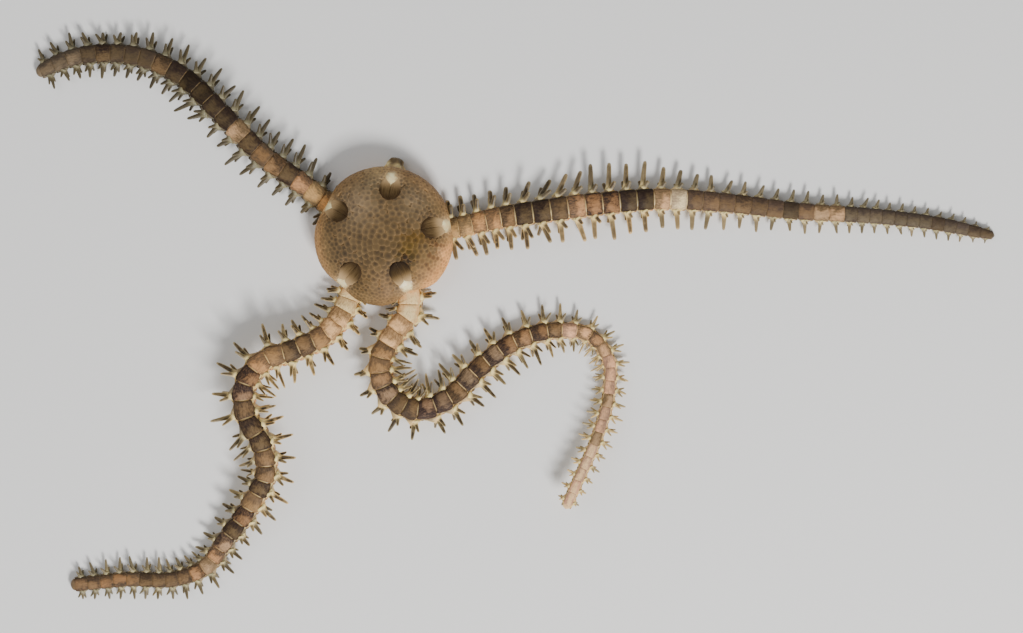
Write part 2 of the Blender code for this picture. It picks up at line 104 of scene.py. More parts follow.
# Looks are display steps from 0 to 255, as seen. Each tone is the ground and the patch of a back
# plate.
TONES = {
    "c": ((190, 168, 132), (232, 216, 188)),
    "q": ((148, 121, 88), (208, 184, 150)),
    "y": ((128, 107, 81), (174, 149, 106)),
    "o": ((116, 93, 73), (166, 137, 96)),
    "h": ((88, 70, 57), (154, 125, 91)),
    "p": ((100, 81, 68), (164, 135, 100)),
    "n": ((68, 55, 51), (146, 115, 82)),
    "u": ((66, 53, 52), (142, 117, 94)),
    "v": ((70, 57, 54), (156, 133, 108)),
    "d": ((62, 50, 46), (114, 93, 69)),
    "k": ((60, 49, 46), (94, 77, 59)),
    "x": ((54, 44, 38), (78, 64, 49)),
    "g": ((84, 68, 58), (134, 108, 80)),
    "b": ((86, 71, 62), (104, 86, 67)),
    "m": ((100, 81, 72), (126, 101, 76)),
    "r": ((92, 78, 72), (116, 100, 82)),
    "s": ((88, 75, 66), (131, 112, 92)),
    "f": ((92, 76, 64), (142, 112, 79)),
    "t": ((126, 104, 80), (176, 152, 124)),
    "w": ((178, 160, 140), (216, 202, 182)),
    "l": ((146, 121, 104), (192, 166, 142)),
    "a": ((166, 139, 122), (210, 190, 166)),
}

# Each arm, named for how it lies. Its bearing is in degrees, shield and knob are the distances of
# its pair of radial shields and its white knob from the disc's centre, and notch is how deep it
# draws in the disc's edge, as a share. Most others are tables of distance from the disc's edge and
# value, and a pair of tables is for the arm's left and its right:
#   widths   the arm's width
#   seams    pairs of a seam's number and its distance
#   stands   at what share of a joint its spines stand
#   spines   how long the chief spines are, a pair
#   leans    how far spines lean to the tip, in degrees, a pair
#   seconds  how long the lesser spines are, as a share
#   taper    how much narrower spines end, and how much wider they begin
#   cores    how dark the spines' middles are
#   horn     the looks of the spines' edges and middles
#   pale     how light spines and cream plates are, a pair; the side towards the key light is
#            painted paler, as painted light
#   tones    each joint's letter in TONES
#   rims     how pale and raised the back plates' edges are, the pale edge partly painted glint
#   covers   how far round the back plates reach, in degrees
#   patch    where the back plates' lighter patches lie, across and along
#   bow, fan how much the back plates' ends bow, and how narrow their near ends are
#   roll     how far the plates are turned over to the arm's right, in degrees
#   knots    the path under the belly: x, y, lift off the floor, lean of the back to the left
ARMS = {
    "right": {
        "bearing": 9.5, "shield": 5.8, "knob": 7.0, "notch": 0.03,
        "widths": ((0, 2.4), (12, 2.7), (25, 2.35), (42, 1.83), (55, 1.52), (58, 1.25),
                   (59.3, 0.93), (59.9, 0.6)),
        "seams": ((0, 0), (4, 6.45), (8, 14.15), (12, 21.75), (16, 28.95), (20, 36.1), (24, 42.9)),
        "joints": 36,
        "stands": ((0, 0.5), (13, 0.45), (20, 0.4), (60, 0.55)),
        "spines": (
            ((0, 1.9), (7, 2.2), (10, 2.7), (13, 2.9), (16, 3.2), (20, 3.1), (22, 2.4), (26, 1.9),
             (32, 1.5), (40, 1.2), (48, 0.9), (55, 0.65), (60, 0.35)),
            ((0, 2.1), (8, 2.5), (16, 2.6), (22, 2.1), (28, 1.8), (40, 1.35), (46, 1.1), (54, 0.9),
             (60, 0.35)),
        ),
        "leans": (
            ((0, -8), (5, 6), (8, 34), (11, 38), (13, 22), (16, 12), (20, 8), (30, 8), (60, 14)),
            ((0, 4), (10, 2), (16, 6), (30, 0), (60, 10)),
        ),
        "seconds": ((0, 0.85), (9, 0.7), (13, 0.45), (24, 0.38), (60, 0.4)),
        "cores": ((0, 1.0), (20, 0.9), (27, 0.5), (60, 0.2)),
        "tones": "yoohddgpnnkktwmmmgmmbmttrrrrrrrbrrbb",
        "rims": ((0, 0.5), (5, 1), (24, 1), (27, 0.15), (60, 0.05)),
        "taper": ((0, 0.12), (24, 0.15), (31, 0.45), (60, 0.6)),
        "pale": (((0, 0.88), (22, 0.88), (32, 0.78), (60, 0.74)),
                 ((0, 1.02), (22, 1.02), (32, 0.88), (60, 0.82))),
        "roll": ((0, 0), (7, 6), (24, 7), (32, 2)),
        "horn": ((172, 156, 127), (94, 76, 58)),
        "bow": 0.05, "fan": 0.93, "patch": (-0.25, 0.25),
        "knots": (
            (2.9, 0.5, 0, 0), (7.7, 1.0, 0, 0), (12.55, 2.0, 0.3, 0.06), (17.45, 2.7, 0.5, 0.1),
            (24.0, 3.55, 0.4, 0.11), (30.6, 4.05, 0.2, 0.1), (37.2, 3.7, 0, 0.08),
            (45.4, 2.8, 0, 0.05), (53.6, 2.3, 0, 0.02), (60.1, 1.6, 0, 0), (67.1, 0.18, 0, 0),
        ),
    },
    "lost": {
        "bearing": 82.0, "shield": 5.55, "knob": 6.3, "notch": 0.0,
        "widths": ((-1, 2.5), (0, 2.1)), "stands": ((0, 0.5), (1, 0.5)),
        "tones": "t", "joints": 0, "pale": (((0, 0.9), (1, 0.9)), ((0, 0.9), (1, 0.9))),
        "knots": ((0.41, 2.92, 0, 0), (0.8, 5.7, 0, 0), (1.13, 8.02, 0, 0)),
    },
    "left": {
        "bearing": 151.6, "shield": 6.1, "knob": 7.1, "notch": 0.06,
        "widths": ((0, 2.55), (18, 2.45), (30, 2.2), (36, 1.9), (37.2, 1.45)),
        "seams": ((0, 0), (1, 2.05), (4, 7.2), (8, 14.5), (12, 21.9), (14, 25.65)),
        "joints": 21,
        "stands": ((0, 0.42), (10, 0.5), (14, 0.62), (24, 0.58), (37, 0.5)),
        "spines": (
            ((0, 1.45), (7, 1.7), (10, 2.2), (13, 1.5), (17, 2.3), (21, 1.7), (25, 1.5),
             (37, 1.45)),
            ((0, 1.5), (4, 2.2), (22, 2.1), (26, 1.9), (31, 1.9), (37, 1.2)),
        ),
        "leans": (((0, 8), (18, 14), (37, 4)), ((0, 4), (14, 10), (37, 4))),
        "seconds": ((0, 0.85), (12, 0.7), (24, 0.7), (37, 0.75)),
        "cores": ((0, 0.85), (20, 0.7), (37, 0.5)),
        "tones": "ypdhfdtkkxxkgbbbdbsss",
        "rims": ((0, 0.15), (5, 0.3), (18, 0.4), (24, 0.25), (37, 0.15)),
        "taper": ((0, 0.42), (37, 0.5)),
        "pale": (((0, 0.74), (8, 0.7), (22, 0.66), (37, 0.68)),
                 ((0, 0.66), (8, 0.64), (37, 0.68))),
        "roll": ((0, -4), (20, -6), (30, 0)),
        "horn": ((170, 153, 121), (106, 87, 66)),
        "bow": 0.1, "fan": 0.6, "patch": (0.2, 0.2),
        "knots": (
            (-2.6, 1.4, 0, 0), (-6.45, 3.8, 0, 0), (-9.35, 5.9, 0.5, -0.07),
            (-13.1, 8.5, 1.1, -0.13), (-17.75, 13.1, 1.5, -0.14), (-22.35, 17.55, 0.9, -0.1),
            (-26.9, 19.7, 0.2, -0.07), (-31.8, 20.2, 0, 0), (-35.2, 19.55, 0, 0),
            (-38.05, 18.25, 0, 0),
        ),
    },
    "bent": {
        "bearing": 228.3, "shield": 5.8, "knob": 7.05, "notch": 0.06,
        "widths": ((0, 2.6), (21, 2.5), (32, 2.3), (42, 1.8), (53, 1.62), (54.2, 1.35)),
        "seams": ((0, 0), (1, 1.4), (5, 8.35), (8, 13.6), (10, 16.9), (13, 22.6), (16, 27.9),
                  (20, 35.6), (23, 40.2)),
        "joints": 32,
        "stands": ((0, 0.5), (8, 0.6), (12, 0.72), (18, 0.74), (24, 0.6), (31, 0.62), (37, 0.8),
                   (44, 0.5)),
        "spines": (
            ((0, 1.3), (5, 2.0), (14, 2.4), (20, 2.2), (28, 2.1), (33, 1.4), (40, 1.7),
             (53, 1.35)),
            ((0, 1.6), (8, 1.9), (13, 2.4), (22, 2.4), (25, 1.4), (31, 1.6), (35, 1.3), (42, 1.4),
             (48, 1.6), (53, 1.2)),
        ),
        "leans": (((0, 6), (14, 4), (30, 8), (53, 4)), ((0, 4), (12, -4), (24, 6), (53, 4))),
        "seconds": ((0, 0.85), (14, 0.75), (30, 0.65), (53, 0.7)),
        "cores": ((0, 1.0), (30, 1.0), (42, 0.6), (53, 0.45)),
        "tones": "cqqohgoonugddhhdondvpthggggfffgg",
        "rims": ((0, 0.4), (5, 0.9), (34, 1), (40, 0.25), (53, 0.15)),
        "taper": ((0, 0.46), (53, 0.5)),
        "pale": (((0, 1.02), (26, 0.98), (36, 0.8), (53, 0.76)),
                 ((0, 0.9), (26, 0.87), (36, 0.8), (53, 0.75))),
        "roll": ((0, -6), (22, -8), (34, -2), (53, 0)),
        "horn": ((186, 170, 138), (86, 69, 52)),
        "bow": 0.14, "fan": 0.58, "patch": (0.1, 0.3),
        "knots": (
            (-1.95, -2.2, 0, 0), (-3.55, -6.15, 0, -0.07), (-4.4, -8.3, 0.4, -0.14),
            (-6.4, -10.95, 1.2, -0.18), (-9.7, -12.65, 2.1, -0.18), (-13.3, -14.0, 2.8, -0.18),
            (-15.05, -16.75, 3.1, -0.2), (-14.8, -19.55, 3.1, -0.2), (-13.2, -22.6, 2.8, -0.18),
            (-12.75, -25.6, 2.3, -0.14), (-14.6, -29.55, 1.4, -0.1), (-17.45, -33.45, 0.5, -0.07),
            (-19.75, -36.4, 0.1, 0), (-23.1, -37.75, 0, 0), (-28.0, -37.8, 0, 0),
            (-34.2, -38.4, 0, 0),
        ),
    },
    "curled": {
        "bearing": 294.5, "shield": 4.8, "knob": 6.0, "notch": 0.13,
        "widths": ((0, 2.7), (20, 2.45), (30, 2.1), (36, 1.6), (56, 1.3), (57.2, 1.0)),
        "seams": ((0, 0), (3, 5.4), (6, 9.8), (9, 14.1), (12, 19.7), (15, 25.5), (18, 31.2),
                  (21, 36.1)),
        "joints": 35,
        "stands": ((0, 0.5), (8, 0.9), (12, 0.95), (28, 0.95), (33, 0.85), (44, 0.6)),
        "spines": (
            ((0, 1.8), (4, 2.3), (18, 2.5), (24, 2.0), (32, 2.0), (34, 1.4), (37, 1.35), (48, 1.3),
             (52, 0.95), (56, 0.6)),
            ((0, 1.3), (8, 1.4), (12, 1.7), (18, 2.3), (28, 2.4), (33, 1.7), (36, 1.35), (48, 1.3),
             (52, 0.95), (56, 0.7)),
        ),
        "leans": (((0, 0), (12, 4), (26, 6), (56, 4)), ((0, 12), (12, 4), (26, 6), (56, 6))),
        "seconds": ((0, 0.85), (14, 0.72), (34, 0.7), (38, 0.9), (56, 0.85)),
        "cores": ((0, 1.0), (32, 1.0), (38, 0.3), (56, 0.15)),
        "covers": ((0, 76), (34, 76), (41, 58), (56, 54)),
        "tones": "cqqoopvgguuhvnvnhnhltptllltlltaaaaa",
        "rims": ((0, 0.3), (8, 0.9), (34, 1), (37, 0.25), (56, 0.12)),
        "taper": ((0, 0.46), (56, 0.5)),
        "pale": (((0, 0.95), (34, 0.95), (42, 1.02), (56, 1.0)),
                 ((0, 0.92), (20, 0.95), (56, 1.0))),
        "roll": ((0, -4), (6, -13), (16, -13), (22, 0), (56, 0)),
        "horn": ((178, 163, 132), (82, 66, 50)),
        "bow": 0.12, "fan": 0.64, "patch": (0.0, 0.3),
        "knots": (
            (1.2, -2.65, 0, 0), (2.75, -6.1, 0, -0.07), (2.85, -8.4, 0.2, -0.18),
            (1.1, -11.1, 0.7, -0.21), (-0.25, -13.9, 1.2, -0.21), (0.6, -17.1, 1.4, -0.21),
            (3.55, -18.9, 1.2, -0.18), (6.85, -17.95, 0.9, -0.03), (10.55, -14.5, 0.5, 0.1),
            (14.55, -11.65, 0.2, 0.14), (19.25, -10.4, 0, 0.1), (22.7, -10.95, 0, 0.03),
            (24.7, -13.65, 0.2, 0), (24.75, -17.0, 0.7, 0), (23.5, -21.75, 1.4, 0),
            (21.55, -26.2, 2.1, 0), (20.0, -29.55, 2.7, 0),
        ),
    },
}
BEARINGS = np.radians([shape["bearing"] for shape in ARMS.values()])
NOTCHES, SHIELDS, KNOBS = (
    np.array([shape[key] for shape in ARMS.values()]) for key in ("notch", "shield", "knob")
)
ARM_NODES = {name: [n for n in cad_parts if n.startswith(f"arm_{name}_")] for name in ARMS}

# How steps of plain paint look under the studio's lights, which dull pale paint. The gain makes
# up for what the shaders and the shadows take from a look, and looks that are paler than
# PALE_FROM are drawn towards grey, because the lights warm them.
STUDIO_PAINT = (0, 20, 40, 60, 80, 100, 120, 140, 160, 180, 200, 220, 240, 255)
STUDIO_LOOK = (38, 49, 63, 82, 103, 123, 141, 155, 167, 177, 185, 192, 198, 202)
LOOK_GAIN = np.array([1.05, 1.07, 1.03])
PALE_FROM = 130
PALE_OVER = 60
PALE_GREY = 0.1


def linear(look):
    """Scene colours of wished looks in display steps: the studio's table read backwards, pale ones
    drawn towards their grey, and the display's curve undone."""
    look = np.asarray(look, float) * LOOK_GAIN
    look = look * np.minimum(1, STUDIO_LOOK[-2] / np.maximum(look.max(-1, keepdims=True), 1))
    share = np.interp(look, STUDIO_LOOK, STUDIO_PAINT) / 255
    grey = share.mean(-1, keepdims=True)
    pale = np.clip((look.max(-1, keepdims=True) - PALE_FROM) / PALE_OVER, 0, 1)
    share = share + PALE_GREY * pale * (grey - share)
    return np.where(share <= 0.04045, share / 12.92, ((share + 0.055) / 1.055) ** 2.4)


def read(table, places):
    """Values of a table of (place, value) pairs, by straight lines between them."""
    table = np.array(table, float)
    return np.interp(places, table[:, 0], table[:, 1])


def bulge(wave, squareness):
    """A sine or cosine pushed out towards a square: its size to the power 2 over squareness."""
    return np.sign(wave) * np.abs(wave) ** (2 / squareness)


def unit(vectors):
    """Vectors over their own lengths."""
    return vectors / np.linalg.norm(vectors, axis=-1, keepdims=True)


def bell(off, spread):
    """One at no distance, falling off as e to the minus square of distance over spread."""
    return np.exp(-((off / spread) ** 2))


def turned(ahead, aside, bearing):
    """x and y of a place that lies ahead along a bearing and aside to its left: ahead times the
    cosine less aside times the sine, and ahead times the sine and aside times the cosine."""
    return (ahead * np.cos(bearing) - aside * np.sin(bearing),
            ahead * np.sin(bearing) + aside * np.cos(bearing))


def stretch(values, columns):
    """Values by row, made to fill a grid of rows by columns."""
    return np.broadcast_to(np.asarray(values)[:, None], (len(values), columns))


def stretch_rows(values, count):
    """One row of values, made to fill a grid of count rows."""
    return np.broadcast_to(values[None], (count, len(values)))


# Meshes.


def stand(name, data):
    """A new object in the scene."""
    thing = bpy.data.objects.new(name, data)
    bpy.context.scene.collection.objects.link(thing)
    return thing


def piece(name, points, quads, triangles, finish, marks=None, paints=None, flat=None):
    """A mesh object from points in millimetres from the disc's centre and arrays of faces.

    Marks are vectors and paints are colours, by vertex, for the finish to read. Flat gives each
    vertex its place on the unrolled skin."""
    mesh = bpy.data.meshes.new(name)
    points = (points.reshape(-1, 3) + DISC_CENTRE) * MM
    faces = [np.asarray(f, int).reshape(-1, n) for f, n in ((quads, 4), (triangles, 3))]
    loops = np.concatenate([f.ravel() for f in faces])
    sizes = np.concatenate([np.full(len(f), f.shape[1]) for f in faces])
    mesh.vertices.add(len(points))
    mesh.vertices.foreach_set("co", points.ravel())
    mesh.loops.add(len(loops))
    mesh.loops.foreach_set("vertex_index", loops)
    mesh.polygons.add(len(sizes))
    mesh.polygons.foreach_set("loop_start", np.r_[0, np.cumsum(sizes)[:-1]])
    mesh.update(calc_edges=True)
    for key, values in (marks or {}).items():
        layer = mesh.attributes.new(key, "FLOAT_VECTOR", "POINT")
        layer.data.foreach_set("vector", np.ascontiguousarray(values, float).ravel())
    for key, values in (paints or {}).items():
        layer = mesh.attributes.new(key, "FLOAT_COLOR", "POINT")
        values = values.reshape(-1, 3)
        layer.data.foreach_set("color", np.c_[values, np.ones(len(values))].ravel())
    if flat is not None:
        layer = mesh.uv_layers.new(name="OFBake")
        layer.data.foreach_set("uv", flat.reshape(-1, 2)[loops].ravel())
    mesh.validate()
    mesh.shade_smooth()
    mesh.materials.append(finish)
    return stand(name, mesh)


def grid_faces(rows, around):
    """Quads of a tube whose points run around, ring by ring."""
    here = np.arange(rows - 1)[:, None] * around + np.arange(around)[None]
    step = (np.arange(around) + 1) % around
    there = np.arange(rows - 1)[:, None] * around + step[None]
    return np.stack([here, there, there + around, here + around], -1).reshape(-1, 4)


def ball_faces(rows, around):
    """A closed tube: its quads, and fans to the last two points, which close its two ends."""
    ring = np.arange(around)
    step = (ring + 1) % around
    first, last = rows * around, rows * around + 1
    top = (rows - 1) * around
    fans = np.concatenate([
        np.stack([step, ring, np.full(around, first)], -1),
        np.stack([top + ring, top + step, np.full(around, last)], -1),
    ])
    return grid_faces(rows, around), fans


def many(faces, count, size):
    """The faces of count like pieces of size points each."""
    return (faces[None] + (np.arange(count) * size)[:, None, None]).reshape(-1, faces.shape[1])


class Closed:
    """A small closed shape that is made many times over. Each has size points, and a, b and c say
    where a point lies on it."""

    def faces(self, count):
        """Quads and fans of this many shapes."""
        return many(self.quads, count, self.size), many(self.fans, count, self.size)

    def notes(self, values):
        """Marks of as many shapes as there are values: a, b and each shape's own value."""
        count = len(values)
        return np.stack([stretch_rows(self.a, count), stretch_rows(self.b, count),
                         stretch(values, self.size)], -1)


class Pillow(Closed):
    """A plate's shape. a runs across it and b along it, both from -1 to 1, and c is 1 on its
    crown, 0 at its rim and -1 underneath. Each ring is the squared oval of the bulged cosine and
    sine at a share of its size, with its c."""

    RINGS = ((0.5, 0.98), (0.8, 0.92), (0.94, 0.76), (0.985, 0.45), (1.0, 0.0), (0.95, -1.0))

    def __init__(self, around, squareness, rings=RINGS):
        turn = np.arange(around) * 2 * math.pi / around + math.pi / around
        shares, heights = np.array(rings).T
        a = shares[:, None] * bulge(np.cos(turn), squareness)[None]
        b = shares[:, None] * bulge(np.sin(turn), squareness)[None]
        c = np.repeat(heights[:, None], around, 1)
        self.a = np.r_[a.ravel(), 0, 0]
        self.b = np.r_[b.ravel(), 0, 0]
        self.c = np.r_[c.ravel(), 1, -1]
        self.size = len(self.a)
        self.quads, self.fans = ball_faces(len(rings), around)


class Blade(Closed):
    """A spine's shape: rings from its root to its tip. a is the cosine of the turn, across it, b
    the run from 0 to 1, and c the sine of the turn, upward."""

    def __init__(self, around, runs):
        turn = np.arange(around) * 2 * math.pi / around
        self.a = np.r_[np.tile(np.cos(turn), len(runs)), 0, 0]
        self.b = np.r_[np.repeat(runs, around), 0.0, 1.0]
        self.c = np.r_[np.tile(np.sin(turn), len(runs)), 0, 0]
        self.ring = np.r_[np.repeat(np.arange(len(runs)), around), 0, 0]
        self.size = len(self.a)
        self.quads, self.fans = ball_faces(len(runs), around)


class Lot:
    """Like shapes that are gathered arm by arm and joined in one mesh."""

    def __init__(self, shape):
        self.shape = shape
        self.held = {}

    def add(self, **arrays):
        """Takes one arm's arrays, point by point."""
        for key, values in arrays.items():
            self.held.setdefault(key, []).append(values.reshape(-1, values.shape[-1]))

    def joined(self, name, finish, marks, paints):
        """One mesh of all that was added, with the marks and paints of these names."""
        whole = {key: np.concatenate(values) for key, values in self.held.items()}
        quads, fans = self.shape.faces(len(whole["points"]) // self.shape.size)
        return piece(name, whole["points"], quads, fans, finish,
                     {key: whole[key] for key in marks}, {key: whole[key] for key in paints},
                     whole["flat"])


# Paths.


def cubic(places, values, slopes, wanted):
    """The cubic through knots with these slopes, read at wanted."""
    index = np.clip(np.searchsorted(places, wanted, side="right") - 1, 0, len(places) - 2)
    span = places[index + 1] - places[index]
    t = (wanted - places[index]) / span
    return (
        values[index] * (2 * t**3 - 3 * t**2 + 1)
        + slopes[index] * span * (t**3 - 2 * t**2 + t)
        + values[index + 1] * (3 * t**2 - 2 * t**3)
        + slopes[index + 1] * span * (t**3 - t**2)
    )


def round_slopes(places, values):
    """Slopes at knots for a round curve: each is the mean of the steps beside it, by length."""
    gaps = np.diff(places)
    steps = np.diff(values) / gaps
    inner = (steps[:-1] * gaps[1:] + steps[1:] * gaps[:-1]) / (gaps[:-1] + gaps[1:])
    return np.r_[steps[0], inner, steps[-1]]


def calm_slopes(places, values):
    """Slopes at knots that never overshoot: the harmonic mean of the steps beside each."""
    steps = np.diff(values) / np.diff(places)
    before, after = steps[:-1], steps[1:]
    level = before * after <= 0
    inner = np.where(level, 0, 2 * before * after / np.where(level, 1, before + after))
    return np.r_[steps[0], inner, steps[-1]]


class Arm:
    """One arm's path and measures. Its methods take whole arrays of places."""

    def __init__(self, name):
        self.name = name
        self.shape = ARMS[name]
        knots = np.array(self.shape["knots"], float)
        chord = np.r_[0, np.cumsum(np.linalg.norm(np.diff(knots[:, :2], axis=0), axis=1))]
        fine = np.linspace(0, chord[-1], PATH_POINTS)
        slopes = (round_slopes, round_slopes, calm_slopes, calm_slopes)
        columns = [cubic(chord, k, s(chord, k), fine) for k, s in zip(knots.T, slopes)]
        self.points = np.stack(columns[:3], 1)
        self.leans = columns[3]
        steps = np.linalg.norm(np.diff(self.points, axis=0), axis=1)
        self.places = np.r_[0, np.cumsum(steps)]
        self.heads = unit(np.gradient(self.points, self.places, axis=0))
        heading = np.unwrap(np.arctan2(self.heads[:, 1], self.heads[:, 0]))
        turning = np.gradient(heading, self.places)
        self.bends = np.convolve(turning, np.ones(BEND_BLUR) / BEND_BLUR, mode="same")
        out = np.linalg.norm(self.points[:ROOT_POINTS, :2], axis=1)
        root = np.interp(ROOT_REACH, out, self.places[:ROOT_POINTS])
        joints = self.shape["joints"]
        self.start = root if joints else self.places[-1]
        self.length = self.places[-1] - self.start
        marks = np.array([*self.shape.get("seams", ()), (joints, self.length)], float)
        self.seams = np.interp(np.arange(joints + 1), marks[:, 0], marks[:, 1])
        self.hidden_step = self.seams[1] if joints else STUMP_STEP

    def width(self, along):
        """The arm's width, from its table."""
        return read(self.shape["widths"], along)

    def roll(self, along):
        """How far the plates are turned over, from its table."""
        return np.radians(read(self.shape.get("roll", ((0, 0), (1, 0))), along))

    def frame(self, along):
        """Point under the belly, heading, left side and up, and the lean, at a distance."""
        inside = np.clip(self.start + along, 0, self.places[-1])
        past = (self.start + along - inside)[..., None]
        point = np.stack([np.interp(inside, self.places, k) for k in self.points.T], -1)
        head = unit(np.stack([np.interp(inside, self.places, k) for k in self.heads.T], -1))
        side = unit(np.stack([-head[..., 1], head[..., 0], np.zeros_like(inside)], -1))
        lean = np.interp(inside, self.places, self.leans)
        return point + head * past, head, side, np.cross(head, side), lean

    def place(self, along, across, height):
        """A point across and height millimetres from the path, pushed aside by the lean."""
        point, _, side, up, lean = self.frame(along)
        return point + side * (across + lean * height)[..., None] + up * height[..., None]

    def on_body(self, along, turn, rise):
        """A point on the arm's squared oval section, which is let in by the plates' thickness:
        across is the half width, and height the half height, times the bulged cosine and sine."""
        width = self.width(along)
        thick = PLATE_SHARE * width
        half_high = width * ARM_HEIGHT_SHARE / 2
        across = (width / 2 - thick + rise) * bulge(np.cos(turn), SQUARENESS)
        height = half_high + (half_high - thick + rise) * bulge(np.sin(turn), SQUARENESS)
        return self.place(along, across, height)

    def joints(self, first):
        """Seams before and after each joint, from the first, which is under the disc."""
        seams = np.r_[np.arange(first, 0) * self.hidden_step, self.seams]
        return seams[:-1], seams[1:]


# A skin laid flat: half the width of a small piece's patch, and, on the arms, the distance at
# which a strip begins and its length.
SMALL_PATCH = 0.0015
STRIP_BEGINS = -9
STRIP_LENGTH = 72


def unrolled(arm, along, turn):
    """A place on the arms' skin laid flat: a strip for each arm, with the distance along it one
    way and the turn about it the other, cut open at the belly."""
    row = list(ARMS).index(arm.name)
    u = 0.03 + (along - STRIP_BEGINS) / STRIP_LENGTH * 0.94
    v = (row + 0.04 + 0.92 * ((turn / (2 * math.pi) + 0.25) % 1.0)) / len(ARMS)
    return np.stack([u, v], -1)


# The disc's surface.

SHIELD_SPOTS = np.stack(turned(SHIELDS, 0, BEARINGS), -1)
KNOB_SPOTS = np.stack(turned(KNOBS, 0, BEARINGS), -1)


def disc_radius(bearing):
    """The disc's edge, drawn in by a bell over each arm."""
    off = np.angle(np.exp(1j * (bearing[..., None] - BEARINGS)))
    return DISC_RADIUS * (1 - (NOTCHES * bell(off, NOTCH_SPREAD)).sum(-1))


def meridian():
    """The disc's outline from the middle of its back to the mouth: shares of its radius and
    heights, read by the share of the outline's own length. Above the equator the height is one
    less the cubed share, to the power 0.55, and below it one less the share to the power 6, to
    the power 0.6, so the back is a flattened dome and the belly nearly flat."""
    back = 1 - np.linspace(1, 0, OUTLINE_POINTS) ** 3
    belly = 1 - np.linspace(0, 1, OUTLINE_POINTS) ** 3 * (1 - MOUTH_RADIUS / DISC_RADIUS)
    high = DISC_EQUATOR + (DISC_TOP - DISC_EQUATOR) * (1 - back**3) ** 0.55
    low = DISC_EQUATOR - (DISC_EQUATOR - DISC_BELLY) * (1 - belly**6) ** 0.6
    shares, heights = np.r_[back, belly[1:]], np.r_[high, low[1:]]
    steps = np.hypot(np.diff(shares) * DISC_RADIUS, np.diff(heights))
    lengths = np.r_[0, np.cumsum(steps)]
    return shares, heights, lengths / lengths[-1], lengths[-1]


SHARES, HEIGHTS, OUTLINE, OUTLINE_LENGTH = meridian()


def from_spots(x, y, spots):
    """How far places lie from each of the spots."""
    return np.hypot(x[..., None] - spots[:, 0], y[..., None] - spots[:, 1])


def disc_point(bearing, run):
    """A point on the disc: run is 0 at the middle of the back and 1 at the mouth. The outline is
    carried round the drawn-in edge, and sinks by a bell under each pair of shields."""
    share = np.interp(run, OUTLINE, SHARES)
    radius = share * disc_radius(bearing)
    x, y = radius * np.cos(bearing), radius * np.sin(bearing)
    z = np.interp(run, OUTLINE, HEIGHTS)
    above = np.clip((z - DISC_EQUATOR) / 0.8, 0, 1)
    sunk = PIT_DEPTH * bell(from_spots(x, y, SHIELD_SPOTS), PIT_SPREAD).sum(-1)
    return np.stack([x, y, z - above * sunk], -1)


def disc_axes(bearing, run):
    """Directions on the disc: outwards along its outline, round it, and off its surface."""
    step = 0.002
    out = unit(disc_point(bearing, np.clip(run + step, 0, 1))
               - disc_point(bearing, np.clip(run - step, 0, 1)))
    round_ = unit(disc_point(bearing + step, run) - disc_point(bearing - step, run))
    return out, round_, unit(np.cross(out, round_))


def back_point(x, y):
    """The point of the disc's back over x, y."""
    bearing = np.arctan2(y, x)
    share = np.clip(np.hypot(x, y) / disc_radius(bearing), 0, 0.999)
    half = OUTLINE_POINTS
    return disc_point(bearing, np.interp(share, SHARES[:half], OUTLINE[:half]))


# The disc's looks. Clouds, and stains with painted light, are a look, its strength, its middle's x
# and y, its spread, and how much shorter than wide it is.
DISC_GROUND = (119, 97, 70)
CLOUDS = (
    ((156, 138, 115), 0.8, -3.2, 3.4, 2.6, 1),
    ((148, 130, 107), 0.8, 3.4, 4.4, 2.4, 1),
    ((163, 151, 127), 0.85, -0.6, 7.2, 2.1, 1),
    ((112, 94, 74), 0.6, -4.6, -2.2, 2.2, 1),
    ((152, 122, 88), 0.7, 0.5, -5.6, 1.8, 1),
)
# The first two rows are painted light on the disc's lower right, towards the key light, and the
# rest are olive and dark stains.
STAINS_AND_LIT_SIDE = (
    ((162, 130, 84), 0.8, 4.8, -4.0, 2.2, 1),
    ((196, 168, 132), 0.7, 6.7, -1.6, 1.1, 1),
    ((118, 92, 48), 0.85, 2.7, -1.5, 1.1, 1),
    ((120, 90, 44), 0.75, 3.4, -0.2, 1.2, 2.2),
    ((60, 46, 26), 0.95, 2.5, -2.6, 0.85, 1),
)
SHIELD_SHADE = (88, 68, 50)
# A pale rim towards three bearings, each with its strength, bearing and spread; towards the lower
# right it is painted light.
PALE_AND_LIT_RIM = (202, 170, 118)
RIM_BEGINS = 5.9
RIM_WIDTH = 1.3
PALE_AND_LIT_RIM_BEARINGS = ((0.95, -35, 42), (0.65, 185, 55), (0.4, 60, 60))
# Painted shade in the furrows of folds at the lower right.
FOLD_SHADE_LOOK = (124, 88, 60)
FOLD_COUNT = 28
FOLD_RADIUS = 5.8
# Painted highlight: a pale glow round each white knob.
KNOB_HIGHLIGHT_GLOW = (210, 194, 166)
BELLY_LOOK = (190, 166, 130)


